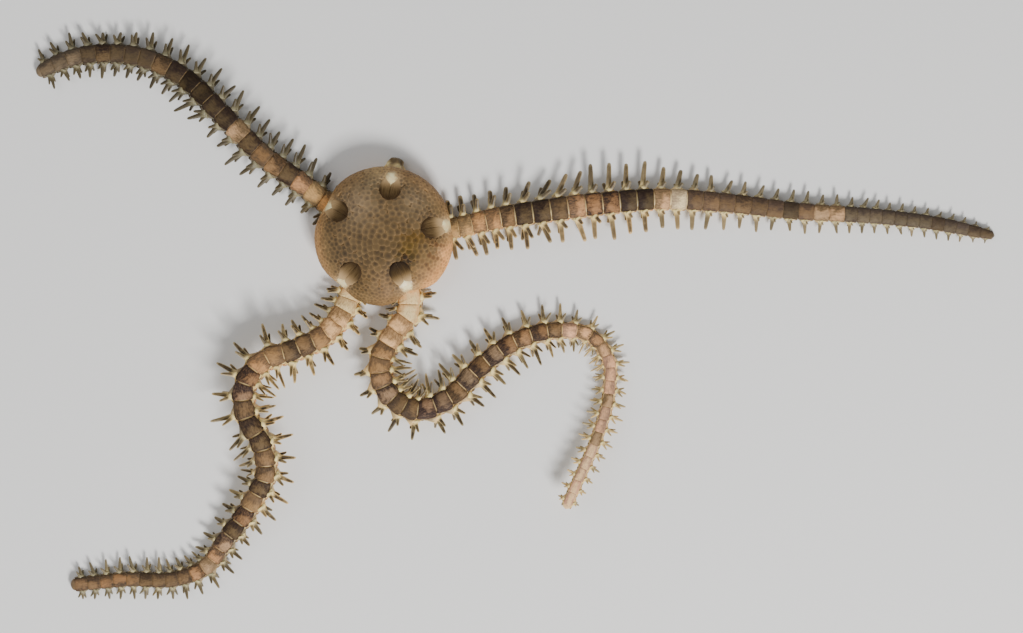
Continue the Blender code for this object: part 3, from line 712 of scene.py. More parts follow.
def disc_paint(points):
    """The disc's look by place: tan brown with bells of clouds, a shade round each pair of
    shields, painted light on the lower right, olive and dark stains, a pale rim towards three
    bearings, painted light where it faces the lower right, painted shade of folds at the lower
    right by a sine of the bearing, pale haloes by the white knobs as painted highlight, and
    cream below."""
    x, y, z = points[..., 0], points[..., 1], points[..., 2]
    radius = np.hypot(x, y)
    bearing = np.arctan2(y, x)
    look = np.broadcast_to(np.array(DISC_GROUND, float), points.shape).copy()

    def wash(colour, share):
        """Takes the look towards a colour by a share."""
        look[...] += (np.array(colour) - look) * np.clip(share, 0, 1)[..., None]

    def cloud(colour, strength, middle_x, middle_y, spread, flatness):
        """A wash by strength times the bell of the distance from a middle."""
        wash(colour, strength * bell(np.hypot(x - middle_x, (y - middle_y) * flatness), spread))

    def towards(angle, spread):
        """The bell of the angle between the bearing and this one."""
        return bell(np.angle(np.exp(1j * (bearing - math.radians(angle)))), math.radians(spread))

    for row in CLOUDS:
        cloud(*row)
    for spot in SHIELD_SPOTS:
        cloud(SHIELD_SHADE, 0.8, *spot, 1.45, 1)
    # Painted light on the lower right, then olive and dark stains.
    for row in STAINS_AND_LIT_SIDE:
        cloud(*row)
    # A pale rim, painted light where it faces the lower right.
    rim = np.clip((radius - RIM_BEGINS) / RIM_WIDTH, 0, 1)
    wash(PALE_AND_LIT_RIM, rim * sum(share * towards(*where) for share, *where in PALE_AND_LIT_RIM_BEARINGS))
    # Painted shade: darker furrows of folds at the lower right.
    waves = np.clip(np.sin(FOLD_COUNT * bearing), 0, 1)
    wash(FOLD_SHADE_LOOK, 0.8 * waves * towards(-20, 20) * bell(radius - FOLD_RADIUS, 0.9))
    # Painted highlight: a pale glow round each white knob.
    for spot in KNOB_SPOTS:
        cloud(KNOB_HIGHLIGHT_GLOW, 0.85, *spot, 0.95, 1)
    wash(BELLY_LOOK, np.clip((DISC_EQUATOR - 0.1 - z) / 0.9, 0, 1))
    return linear(look)


# Finishes. Scales of noise are in repeats over a metre.

BLACK, WHITE = (0, 0, 0), (1, 1, 1)
GLOW_REACH = (1.0, 0.8, 0.6)
GLOW_DEPTH = 0.2
COAT_ROUGHNESS = 0.25
BLOTCHES = 1400
FLECKS = 5200
GRIT = 4200
# A cream edge colour, partly the plates' pale margin and partly painted glint.
PLATE_EDGE_AND_GLINT = (176, 157, 120)
FLECK_BROWN = (110, 86, 66)
SCALE_SPOT = (0.5, 0.5, 0.58)
SCALE_RIM = (190, 166, 130)
# The knobs' white is partly their own colour and partly painted highlight.
KNOB_WHITES_AND_HIGHLIGHT = ((216, 208, 192), (196, 182, 158))
KNOB_TAN = (166, 144, 112)
SHIELD_LINES = ((88, 70, 53), (118, 97, 72))
# Painted shade where a shield dips into its pit.
SHIELD_RIM_SHADE = (54, 42, 32)
SHIELD_END = (172, 153, 126)


class Finish:
    """A material's nodes, added one by one."""

    def __init__(self, name, roughness, glow=0.0, coat=0.0, shine=0.32):
        self.material = bpy.data.materials.new(name)
        self.material.use_nodes = True
        self.tree = self.material.node_tree
        self.shader = self.tree.nodes["Principled BSDF"]
        for socket, value in (
            ("Roughness", roughness), ("Specular IOR Level", shine),
            ("Subsurface Weight", glow), ("Subsurface Radius", GLOW_REACH),
            ("Subsurface Scale", GLOW_DEPTH * MM), ("Coat Weight", coat),
            ("Coat Roughness", COAT_ROUGHNESS),
        ):
            self.shader.inputs[socket].default_value = value
        self.place = self.add("ShaderNodeTexCoord").outputs["Object"]

    def add(self, kind, **settings):
        """A new node of a kind."""
        node = self.tree.nodes.new(kind)
        for key, value in settings.items():
            setattr(node, key, value)
        return node

    def link(self, value, socket):
        """Leads an output to a socket, or sets the socket to a value."""
        if hasattr(value, "is_output"):
            self.tree.links.new(value, socket)
        elif isinstance(value, (tuple, list, np.ndarray)) and len(value) == 3:
            socket.default_value = (*value, 1.0) if socket.type == "RGBA" else tuple(value)
        else:
            socket.default_value = value

    def mark(self, name, output="Vector"):
        """One of the mesh's marks or paints."""
        return self.add("ShaderNodeAttribute", attribute_name=name).outputs[output]

    def parts(self, vector):
        """A vector's three parts."""
        node = self.add("ShaderNodeSeparateXYZ")
        self.link(vector, node.inputs[0])
        return node.outputs

    def math(self, operation, a, b=0.0, clamp=False):
        """One sum on two values."""
        node = self.add("ShaderNodeMath", operation=operation, use_clamp=clamp)
        self.link(a, node.inputs[0])
        self.link(b, node.inputs[1])
        return node.outputs[0]

    def plus(self, a, b):
        """a and b added."""
        return self.math("ADD", a, b)

    def less(self, a, b):
        """b taken from a."""
        return self.math("SUBTRACT", a, b)

    def times(self, a, b):
        """a times b."""
        return self.math("MULTIPLY", a, b)

    def distance(self, a, b):
        """The square root of the sum of the squares."""
        squares = [self.math("POWER", value, 2.0) for value in (a, b)]
        return self.math("SQRT", self.plus(*squares))

    def ramp(self, value, low, high, start=0.0, end=1.0):
        """Turns low to high into start to end, smoothly."""
        node = self.add("ShaderNodeMapRange", interpolation_type="SMOOTHSTEP")
        for socket, given in zip(node.inputs, (value, low, high, start, end)):
            self.link(given, socket)
        return node.outputs[0]

    def noise(self, scale, detail=2.0, vector=None, rough=0.5):
        """Noise by the place on the object, or by another vector."""
        node = self.add("ShaderNodeTexNoise")
        self.link(self.place if vector is None else vector, node.inputs["Vector"])
        node.inputs["Scale"].default_value = scale
        node.inputs["Detail"].default_value = detail
        node.inputs["Roughness"].default_value = rough
        return node.outputs[0]

    def streaks(self, across, along, which, scale, detail, rough=0.5):
        """Noise on the piece's own axes: lines along it where across is given larger, and other
        lines for each which."""
        axes = self.add("ShaderNodeCombineXYZ")
        for socket, value in zip(axes.inputs, (across, along, which)):
            self.link(value, socket)
        return self.noise(scale, detail, axes.outputs[0], rough)

    def grains(self, scale):
        """How far off the middle of the nearest grain is."""
        node = self.add("ShaderNodeTexVoronoi")
        self.link(self.place, node.inputs["Vector"])
        node.inputs["Scale"].default_value = scale
        return node.outputs["Distance"]

    def mix(self, share, a, b, kind="MIX"):
        """a taken towards b by a share."""
        node = self.add("ShaderNodeMix", data_type="RGBA", blend_type=kind)
        self.link(share, node.inputs["Factor"])
        self.link(a, node.inputs["A"])
        self.link(b, node.inputs["B"])
        return node.outputs["Result"]

    def shaded(self, colour, shade):
        """A colour times a grey, which is no lighter than white."""
        return self.mix(1.0, colour, self.mix(shade, BLACK, WHITE), "MULTIPLY")

    def bump(self, height, strength, distance):
        """Relief by a height, with its distance in millimetres."""
        node = self.add("ShaderNodeBump")
        node.inputs["Strength"].default_value = strength
        node.inputs["Distance"].default_value = distance * MM
        self.link(height, node.inputs["Height"])
        self.tree.links.new(node.outputs[0], self.shader.inputs["Normal"])

    def done(self, colour, roughness=None):
        """Gives the shader its colour and roughness."""
        self.link(colour, self.shader.inputs["Base Color"])
        if roughness is not None:
            self.link(roughness, self.shader.inputs["Roughness"])
        return self.material


def plate_finish():
    """Arm plates: the dark ground at the near and side edges, the patch beyond the middle, both
    broken up by noise, flecks and fine lengthwise streaks, and a cream edge at the far end and the
    sides, broken up by noise, which is partly the plates' pale margin and partly painted glint."""
    f = Finish("banded_plate", 0.7, glow=0.06, shine=0.24)
    across, along, rim = f.parts(f.mark("within"))
    middle_a, middle_b, reach = f.parts(f.mark("spot"))
    far = f.distance(f.times(f.less(across, middle_a), f.ramp(rim, 0.0, 0.6, 1.3, 0.95)),
                     f.times(f.less(along, middle_b), f.ramp(rim, 0.0, 0.6, 0.25, 0.85)))
    blotch = f.noise(BLOTCHES, 3.0, rough=0.6)
    far = f.plus(far, f.times(f.less(blotch, 0.5), 1.5))
    share = f.times(f.ramp(far, 0.9, 0.15), reach)
    share = f.plus(share, f.times(f.ramp(f.noise(FLECKS, 2.0), 0.38, 0.66), 0.2))
    line = f.streaks(f.times(across, 7.0), along, f.times(reach, 90.0), 1.7, 3.0, 0.6)
    share = f.math("ADD", share, f.ramp(line, 0.3, 0.7, -0.2, 0.2), clamp=True)
    shade = f.ramp(f.noise(3300, 3.0, rough=0.65), 0.3, 0.7, 0.86, 1.1)
    shade = f.times(shade, f.ramp(line, 0.3, 0.7, 0.86, 1.1))
    colour = f.shaded(f.mix(share, f.mark("ground", "Color"), f.mark("patch", "Color")), shade)
    # The cream edge at the seams: partly the plates' pale margin, partly a painted glint on the
    # bevel.
    edge = f.math("MAXIMUM", f.math("ABSOLUTE", across), along)
    edge = f.math("MAXIMUM", f.ramp(edge, 0.93, 0.985), f.ramp(along, -0.965, -0.99))
    edge_cream = f.times(rim, f.ramp(f.noise(2600, 2.0), 0.3, 0.6, 0.45, 1.0))
    colour = f.mix(f.times(edge, edge_cream), colour, linear(PLATE_EDGE_AND_GLINT))
    f.bump(f.plus(f.grains(14000), f.times(f.noise(GRIT, 3.0), 1.2)), 0.35, 0.03)
    return f.done(colour, f.ramp(blotch, 0.3, 0.7, 0.62, 0.76))


def flank_finish():
    """Side and belly plates, pore scales and mouth plates: cream chalk with brown clouds and
    flecks."""
    f = Finish("cream_plate", 0.5, glow=0.15, coat=0.06)
    cloud = f.ramp(f.noise(1700, 3.0, rough=0.6), 0.42, 0.68, 0.0, 0.5)
    colour = f.mix(cloud, f.mark("ground", "Color"), f.mark("patch", "Color"))
    fleck = f.ramp(f.noise(FLECKS, 2.0), 0.55, 0.72, 0.0, 0.3)
    f.bump(f.plus(f.grains(15000), f.noise(GRIT, 3.0)), 0.35, 0.03)
    return f.done(f.mix(fleck, colour, linear(FLECK_BROWN)))


def spine_finish():
    """Spines: a brown core that fades towards horn edges and a pale root and tip, with fine
    lengthwise lines."""
    f = Finish("chalky_spine", 0.45, glow=0.15, coat=0.05)
    across, along, core = f.parts(f.mark("within"))
    middle = f.ramp(f.math("ABSOLUTE", across), 0.9, 0.5)
    run = f.times(f.ramp(along, 0.14, 0.36), f.ramp(along, 1.0, 0.86))
    broken = f.times(f.ramp(f.noise(1900, 3.0, rough=0.6), 0.25, 0.6, 0.65, 1.0), core)
    share = f.math("MULTIPLY", f.times(middle, run), broken, clamp=True)
    line = f.streaks(f.times(across, 5.0), along, core, 1.6, 2.0)
    brown = f.shaded(f.mark("core", "Color"), f.ramp(line, 0.3, 0.7, 0.75, 1.25))
    f.bump(line, 0.3, 0.03)
    return f.done(f.mix(share, f.mark("edge", "Color"), brown))


def scale_finish():
    """Disc scales: the place's paint, with a dark spot in the middle of each and a pale rim."""
    f = Finish("disc_scale", 0.62, glow=0.08, shine=0.2)
    across, along, chance = f.parts(f.mark("within"))
    far = f.distance(across, along)
    spot = f.times(f.ramp(far, 0.85, 0.0), f.ramp(chance, 0.0, 0.9, 0.4, 1.0))
    paint = f.mark("ground", "Color")
    dark = f.mix(1.0, paint, SCALE_SPOT, "MULTIPLY")
    rim = f.mix(f.ramp(far, 0.55, 0.95, 0.0, 0.1), paint, linear(SCALE_RIM))
    cloud = f.ramp(f.noise(900, 4.0, rough=0.65), 0.3, 0.7, 0.8, 1.2)
    f.bump(f.noise(6500, 3.0), 0.3, 0.03)
    return f.done(f.shaded(f.mix(spot, rim, dark), cloud))


def flesh_finish():
    """Flesh: the place's paint in clouds, with a fine wrinkle."""
    f = Finish("arm_flesh", 0.5, glow=0.1, coat=0.1)
    cloud = f.ramp(f.noise(1300, 4.0, rough=0.6), 0.32, 0.68, 0.75, 1.1)
    f.bump(f.noise(FLECKS, 3.0), 0.35, 0.04)
    return f.done(f.shaded(f.mark("ground", "Color"), cloud))


def disc_skin_finish():
    """The disc's skin between its scales: the place's paint in faint clouds."""
    f = Finish("disc_membrane", 0.6, glow=0.1, shine=0.2)
    cloud = f.ramp(f.noise(1600, 4.0, rough=0.6), 0.3, 0.7, 0.85, 1.05)
    f.bump(f.noise(FLECKS, 3.0), 0.4, 0.04)
    return f.done(f.shaded(f.mark("ground", "Color"), cloud))


def knob_finish():
    """White knobs: white, partly their own and partly painted highlight, with faint clouds on the
    crown, turning tan to the rim.
    """
    f = Finish("white_knob", 0.4, glow=0.15, coat=0.1)
    across, along, _ = f.parts(f.mark("within"))
    cloud = f.noise(1500, 3.0, rough=0.6)
    far = f.plus(f.distance(across, along), f.times(f.less(cloud, 0.5), 1.1))
    # White that is partly painted highlight, fading to tan.
    white = f.mix(f.ramp(cloud, 0.35, 0.7), *map(linear, KNOB_WHITES_AND_HIGHLIGHT))
    f.bump(f.noise(FLECKS, 3.0), 0.25, 0.03)
    return f.done(f.mix(f.ramp(far, 0.35, 1.05), white, linear(KNOB_TAN)))


def shield_finish():
    """Radial shields: fine dark lines that run to the pale far end, a dark rim of painted shade at
    the near end and the outer side, where the shield dips into its pit, and the stain."""
    f = Finish("striped_shield", 0.66, glow=0.08, shine=0.12)
    across, along, chance = f.parts(f.mark("within"))
    line = f.streaks(f.times(across, 7.0), along, f.times(chance, 30.0), 1.3, 3.0)
    line = f.ramp(line, 0.3, 0.7)
    colour = f.mix(line, *map(linear, SHIELD_LINES))
    far = f.distance(f.math("MAXIMUM", across, 0.0), along)
    # Painted shade: darker at the near end and the outer side, where the shield dips into its pit.
    rim = f.times(f.ramp(along, 0.6, -0.4), f.ramp(far, 0.15, 1.0))
    colour = f.mix(f.times(rim, 0.75), colour, linear(SHIELD_RIM_SHADE))
    colour = f.mix(f.ramp(along, -0.3, 0.8), colour, linear(SHIELD_END))
    f.bump(line, 0.3, 0.04)
    return f.done(f.mix(1.0, colour, f.mark("stain", "Color"), "MULTIPLY"))


# Pieces on the arms.

CREAM = (196, 183, 154)
COVERS = ((0, 76), (1, 76))
FLESH_BEGINS = 0.4
FLESH_AROUND = 28
FLESH_RINGS_PER_MM = 5
SEAM_WAIST = 0.05
END_RINGS = 7
END_LENGTH = 0.7
END_DRAWN_IN = 0.84
END_CLOSED = 0.8
# The stump's paint by height: painted shade in the hollows, paler lumps.
STUMP_HOLLOW_SHADE = np.array((130, 110, 80))
STUMP_LUMP = np.array((214, 204, 180))
STUMP_LUMP_HEIGHT = 0.2


def arm_paints(arm, hidden):
    """Ground and patch paints of the arm's joints, the first one carried under the disc."""
    tones = arm.shape["tones"]
    tones = tones[0] * hidden + tones[:arm.shape["joints"]]
    return [np.array([TONES[tone][which] for tone in tones], float) for which in (0, 1)]


def pale(arm, on_right, along):
    """How light the arm's spines and cream plates are on one side, painted paler on the side
    towards the key light, as painted light.
    """
    return read(arm.shape["pale"][on_right], along)


def flesh_look(arm, along, turn):
    """The flesh's look: cream, and on the back the patches' look, less so where the plates have
    pale rims. The back begins where the sine of the turn passes the cosine of their reach."""
    # Each side's paleness, with painted light on the side towards the key light.
    sides = [pale(arm, on_right, along)[:, None] for on_right in (0, 1)]
    look = linear(np.array(CREAM) * np.where(np.cos(turn) > 0, *sides)[..., None])
    cover = np.radians(read(arm.shape.get("covers", COVERS), along))[:, None]
    on_back = np.clip(0.4 + 4 * (np.sin(turn)[None] - np.cos(cover)), 0, 1)
    share = (1 - 0.45 * read(arm.shape["rims"], along))[:, None] * on_back
    joint = np.clip(np.searchsorted(arm.seams, along) - 1, 0, arm.shape["joints"] - 1)
    patch = linear(arm_paints(arm, 0)[1][joint])[:, None]
    return look + share[..., None] * (patch - look)


def arm_flesh(arm, finish):
    """The arm's flesh under its plates: the squared oval section carried along the path, let in
    at each seam by a sine of the way between seams, and closed by an end that is rounded as a
    circle. The stump is lumpy by the product of two crossed waves, and painted darker in its
    hollows and paler on its lumps, as painted shade and light."""
    whole = arm.shape["joints"] > 0
    inner = FLESH_BEGINS - arm.start
    outer = arm.length if whole else 0.0
    count = int((outer - inner) * FLESH_RINGS_PER_MM)
    along = np.linspace(inner, outer, count)
    swell = np.zeros(count)
    if whole:
        near, far = arm.joints(-3)
        index = np.clip(np.searchsorted(far, along), 0, len(near) - 1)
        phase = (along - near[index]) / (far - near)[index]
        swell = SEAM_WAIST * (np.sin(phase * math.pi) - 1)
    cap = np.sin(np.linspace(0, QUARTER, END_RINGS))[1:]
    end = arm.width(outer) / 2
    along = np.r_[along, outer + cap * end * END_LENGTH]
    swell = np.r_[swell, -(1 - np.sqrt(1 - cap**2)) * end * END_DRAWN_IN]
    swell[-1] = -end * END_CLOSED
    turn = np.arange(FLESH_AROUND) * 2 * math.pi / FLESH_AROUND
    rise = stretch(swell, FLESH_AROUND)
    grid_along, grid_turn = stretch(along, FLESH_AROUND), stretch_rows(turn, len(along))
    if whole:
        look = flesh_look(arm, along, turn)
    else:
        lumpy = (0.7 + 0.3 * np.sin(grid_turn)) * np.clip(grid_along + 1, 0, 1)
        waves = np.sin(3 * grid_turn + 4 * grid_along) * np.sin(2 * grid_turn - 3 * grid_along)
        rise = rise + STUMP_LUMP_HEIGHT * lumpy * waves
        # Painted shade and light by height: darker in the hollows, paler on the lumps.
        lump = np.clip(0.5 + 4 * rise, 0, 1)[..., None]
        look = linear(STUMP_HOLLOW_SHADE + lump * (STUMP_LUMP - STUMP_HOLLOW_SHADE))
    points = arm.on_body(grid_along, grid_turn, rise)
    ends = points[[0, -1]].mean(1)
    quads, fans = ball_faces(len(along), FLESH_AROUND)
    ground = np.concatenate([look.reshape(-1, 3), look[[0, -1], 0]])
    return piece(f"arm_flesh_{arm.name}", np.concatenate([points.reshape(-1, 3), ends]),
                 quads, fans, finish, None, {"ground": ground})


BACK_RINGS = ((0.6, 1.0), (0.87, 0.98), (0.955, 0.86), (0.988, 0.5), (1.0, 0.0), (0.97, -1.0))


def back_plates(arms, finish, draw):
    """The plates on the arms' backs: nearly rectangular pillows bent round the back, narrower at
    the near end, with both ends bowed towards the tip by the square of the way across, and the
    far end a little raised over the next one. Where the rims are faint they lie flatter and
    closer."""
    shape = Pillow(32, 8.0, BACK_RINGS)
    a, b, c = shape.a[None], shape.b[None], shape.c[None]
    lot = Lot(shape)
    for arm in arms:
        near, far = arm.joints(-2)
        count = len(near)
        middle, half = (near + far) / 2, (far - near) / 2
        width = arm.width(middle)[:, None]
        fan = arm.shape["fan"]
        cover = np.radians(read(arm.shape.get("covers", COVERS), near))[:, None]
        spread = cover * (fan + (1 - fan) * ((b + 1) / 2) ** 0.8)
        rims = read(arm.shape["rims"], near)
        seam = np.minimum(SEAM, 0.05 * (far - near)) * (0.1 + 0.9 * rims)
        bow = arm.shape["bow"] * width * (0.5 - a**2)
        along = middle[:, None] + (half - seam / 2)[:, None] * b + bow
        turn = QUARTER - a * spread + arm.roll(along)
        thick = PLATE_SHARE * width
        relief = (0.25 + 0.75 * rims)[:, None]
        crown = thick * (1 - relief + relief * (c + 0.12 * b))
        centre = np.array(arm.shape["patch"]) + draw.normal(0, 0.16, (count, 2))
        reach = draw.uniform(0.75, 1.0, count)
        lot.add(points=arm.on_body(along, turn, np.where(c > 0, crown, c * 0.5 * thick)),
                within=shape.notes(rims), flat=unrolled(arm, along, turn),
                spot=np.repeat(np.c_[centre, reach], shape.size, 0))
        for key, paint in zip(("ground", "patch"), arm_paints(arm, 2)):
            varied = np.clip(paint * draw.uniform(0.92, 1.08, (count, 1)), 0, 255)
            lot.add(**{key: np.repeat(linear(varied), shape.size, 0)})
    return lot.joined("back_plates", finish, ("within", "spot"), ("ground", "patch"))


# Rows of plates: turn of the middle and half the span in degrees, whether it is a side plate, and
# which way across it the back lies. Creams and clouds lean a little to their joint's paints.
FLANK_ROWS = ((-12, 34, 1, -1), (192, 34, 1, 1), (270, 40, 0, 0))
FLANK_CREAM = np.array((208.0, 196, 166))
FLANK_CLOUD = np.array((140.0, 116, 90))


def flank_plates(arms, finish, draw):
    """The plates on the arms' sides and bellies. A side plate swells to a knob where its spines
    stand: its rise is its crown's thickness and a bell about that place. Its upper near corner is
    brown."""
    shape = Pillow(16, 3.0)
    a, b, c = shape.a[None], shape.b[None], shape.c[None]
    lot = Lot(shape)
    for arm in arms:
        near, far = arm.joints(-3)
        near = np.maximum(near, 0.5 - arm.start)
        count = len(near)
        width = arm.width((near + far) / 2)[:, None]
        stand = read(arm.shape["stands"], near)[:, None]
        ground, patch = arm_paints(arm, 3)
        for middle, span, side, upper in FLANK_ROWS:
            shift = side * (stand - 0.5) * 0.7
            along = ((near + far) / 2)[:, None] + (far - near)[:, None] * (shift + 0.47 * b)
            turn = math.radians(middle) - a * math.radians(span) + side * arm.roll(along)
            thick = PLATE_SHARE * width
            knob = side * 0.26 * width * bell(b, 0.5) * bell(a, 0.8)
            crown = c * (thick * (0.5 + 0.4 * (1 - side)) + knob)
            lot.add(points=arm.on_body(along, turn, np.where(c > 0, crown, c * 0.5 * thick)),
                    within=shape.notes(draw.random(count)), flat=unrolled(arm, along, turn))
            # Each side's paleness, with painted light on the side towards the key light.
            bright = pale(arm, middle > 90, near)[:, None]
            cream = (FLANK_CREAM + (patch - 130) * 0.2) * bright
            cloud = (FLANK_CLOUD * 0.7 + ground * 0.3) * bright
            brown = 0.4 * np.clip(1.6 * (upper * a - 0.15), 0, 1) * np.clip(0.35 - b, 0, 1)
            for key, paint in (("ground", cream), ("patch", cloud)):
                varied = (paint * draw.uniform(0.95, 1.04, (count, 1)))[:, None]
                varied = varied + brown[..., None] * (ground[:, None] * 1.15 - varied)
                lot.add(**{key: linear(np.clip(varied, 0, 255))})
    return lot.joined("flank_plates", finish, ("within",), ("ground", "patch"))


PORE_TURNS = (-20, 200)
PORE_RINGS = ((0.6, 0.9), (0.92, 0.5), (1.0, 0.0), (0.8, -1.0))
PORE_CREAM = np.array((166.0, 140, 112))


def pore_scales(arms, finish, draw):
    """The little oval scale beyond each knob, low on the arm's side: a pillow by its half length
    and half width."""
    shape = Pillow(8, 2.0, PORE_RINGS)
    a, b, c = shape.a[None], shape.b[None], shape.c[None]
    lot = Lot(shape)
    for arm in arms:
        near, far = arm.joints(-1)
        count = len(near)
        thick = PLATE_SHARE * arm.width(near)[:, None]
        stand = read(arm.shape["stands"], near)[:, None]
        for level in PORE_TURNS:
            along = near[:, None] + (far - near)[:, None] * (stand + 0.4 + 0.17 * b)
            turn = np.broadcast_to(math.radians(level) - 0.2 * a, along.shape)
            rise = thick * (0.5 + np.where(c > 0, 0.9 * c, c))
            lot.add(points=arm.on_body(along, turn, rise),
                    within=shape.notes(draw.random(count)), flat=unrolled(arm, along, turn))
            # Each side's paleness, with painted light on the side towards the key light.
            bright = pale(arm, level > 90, near)[:, None] * draw.uniform(0.88, 1.1, (count, 1))
            paint = np.repeat(linear(PORE_CREAM * bright), shape.size, 0)
            lot.add(ground=paint, patch=0.8 * paint)
    return lot.joined("pore_scales", finish, ("within",), ("ground", "patch"))


# Each spine of a joint's side: turn above level, angle above level and lean to the tip, in
# degrees, share of the length, and whether it is one of the lesser ones. Scatters are in degrees.
# SPINE_END is the half width at each SPINE_RUN from root to tip, as a share.
FAN = (
    (2, 4, 0, 1.0, False),
    (14, 22, 21, 0.86, True),
    (-18, -11, -15, 0.8, True),
)
SPINE_AROUND = 8
SPINE_RUN = np.array((0.0, 0.1, 0.22, 0.42, 0.68, 0.88, 0.97))
SPINE_END = np.array((1.7, 1.32, 1.08, 1.0, 0.98, 0.92, 0.68))
SPINE_ROOT = np.array((214, 202, 172))
SPINE_HALF = 0.3
SPINE_HALF_SHARE = 0.13
SPINE_FLATNESS = 0.6
SPINE_INSET = 0.3
SPINE_TILT_SCATTER = 6
SPINE_CLIMB_SCATTER = 4
SPINE_OFF_DISC = 0.25
SPINE_OFF_FLOOR = 0.04
BROAD_ARM = 2.3
BEND_ROOM = 0.95


def spine_lines(arm, side, fan, low, high, draw):
    """One kind of spine along one side of an arm: how far along it each stands and at what turn,
    its root, its end and its half width. A spine leans to the tip by its fan, which opens on a
    thin arm, and by the arm's lean. It is shorter inside a bend, by what the bend's radius leaves
    it, and its end stays clear of the disc, inside the solids' box and above the floor."""
    level, rise, lean, share, lesser = fan
    near, far = arm.joints(-1)
    count = len(near)
    on_right = side < 0
    along = near + (read(arm.shape["stands"], near) + 0.06 * lean / 20) * (far - near)
    width = arm.width(along)
    length = read(arm.shape["spines"][on_right], along) * share
    length *= draw.uniform(0.87, 1.13, count)
    if lesser:
        length *= read(arm.shape["seconds"], along)
    spread = 1 + 1.3 * np.clip(1 - width / BROAD_ARM, 0, 1)
    tilt = np.radians(lean * spread + read(arm.shape["leans"][on_right], along)
                      + draw.normal(0, SPINE_TILT_SCATTER, count))
    climb = np.radians(rise + draw.normal(0, SPINE_CLIMB_SCATTER, count))
    turn = np.full(count, math.radians(90 - side * (90 - level)))
    root = arm.on_body(along, turn, 0.1 * width)
    _, head, left, up, _ = arm.frame(along)
    way = (side * left * (np.cos(climb) * np.cos(tilt))[:, None]
           + head * (np.cos(climb) * np.sin(tilt))[:, None] + up * np.sin(climb)[:, None])
    bend = np.interp(arm.start + along, arm.places, arm.bends) * side
    room = BEND_ROOM / np.maximum(bend, 1e-3) - width / 2
    length = np.minimum(length, np.maximum(room, 0.5))
    half = np.minimum(SPINE_HALF, SPINE_HALF_SHARE * width) * (0.8 if lesser else 1.0)
    half = np.minimum(half, 0.26 * length) * np.clip(1.1 - 1.8 * bend, 0.6, 1)
    end = root + way * length[:, None]
    clear = np.maximum((DISC_RADIUS + SPINE_OFF_DISC) / np.linalg.norm(end[:, :2], axis=1), 1)
    end[:, :2] *= np.where(along > 0, clear, 1)[:, None]
    end[:, :2] = np.clip(end[:, :2], low + SPINE_INSET, high - SPINE_INSET)
    end[:, 2] = np.maximum(end[:, 2], half + SPINE_OFF_FLOOR)
    return along, turn, root, end, half


def spines(arms, finish, draw):
    """All spines: each a flat blunt blade along a line that is bent by the square of the run less
    the run. Its half width is given by ring, less the taper times the run to the power 1.3, and
    wider at the root by the taper."""
    low, high = (np.array(corner[:2]) / MM - DISC_CENTRE[:2] for corner in cad_box)
    shape = Blade(SPINE_AROUND, SPINE_RUN)
    run = shape.b
    past_root = np.clip((run - 0.06) / 0.34, 0, 1)[None, :, None]
    lot = Lot(shape)
    for arm in arms:
        for side, fan in ((side, fan) for side in (1, -1) for fan in FAN):
            along, turn, root, end, half = spine_lines(arm, side, fan, low, high, draw)
            count = len(along)
            taper = read(arm.shape["taper"], along)[:, None]
            swell = SPINE_END * (1 - taper * SPINE_RUN**1.3)
            swell = (swell * (1 + taper * np.clip(0.7 - 3 * SPINE_RUN, 0, 1)))[:, shape.ring]
            length = np.linalg.norm(end - root, axis=1)
            way = unit(end - root)
            _, _, left, up, _ = arm.frame(along)
            broad = unit(np.cross(up + 0.15 * side * left, way))
            thin = np.cross(way, broad)
            curve = draw.normal(0, 0.05, count) * length
            ahead = length[:, None] * (run - 0.1 * (1 - run))
            across = curve[:, None] * (run**2 - run) + half[:, None] * swell * shape.a
            upward = SPINE_FLATNESS * half[:, None] * swell * shape.c
            points = (root[:, None] + way[:, None] * ahead[..., None]
                      + broad[:, None] * across[..., None] + thin[:, None] * upward[..., None])
            core = read(arm.shape["cores"], along) * draw.uniform(0.8, 1.1, count)
            flat = unrolled(arm, along, turn)[:, None]
            flat = flat + SMALL_PATCH * np.stack([shape.a, 2 * run - 1], -1)
            lot.add(points=points, within=shape.notes(core), flat=flat)
            # Each side's paleness, with painted light on the side towards the key light.
            bright = pale(arm, side < 0, along)[:, None, None]
            horn, middle = np.array(arm.shape["horn"], float)
            for key, look, at_root in (("edge", horn, SPINE_ROOT), ("core", middle, middle)):
                varied = at_root + past_root * (look - at_root)
                varied = varied * bright * draw.uniform(0.92, 1.08, (count, 1, 1))
                lot.add(**{key: linear(varied)})
    return lot.joined("arm_spines", finish, ("within",), ("edge", "core"))


# Pieces on the disc.


def disc_flat(bearing, run):
    """A place on the disc's skin laid flat: bearing by the share of the outline's length."""
    return np.stack([0.01 + 0.98 * (bearing / (2 * math.pi) % 1.0), 0.01 + 0.98 * run], -1)


SKIN_AROUND = 200
SKIN_ROWS = 90
SKIN_BEGINS = 0.012
MOUTH_WALL = ((0.99, 0.9), (0.97, 1.3), (0.85, MOUTH_ROOF))


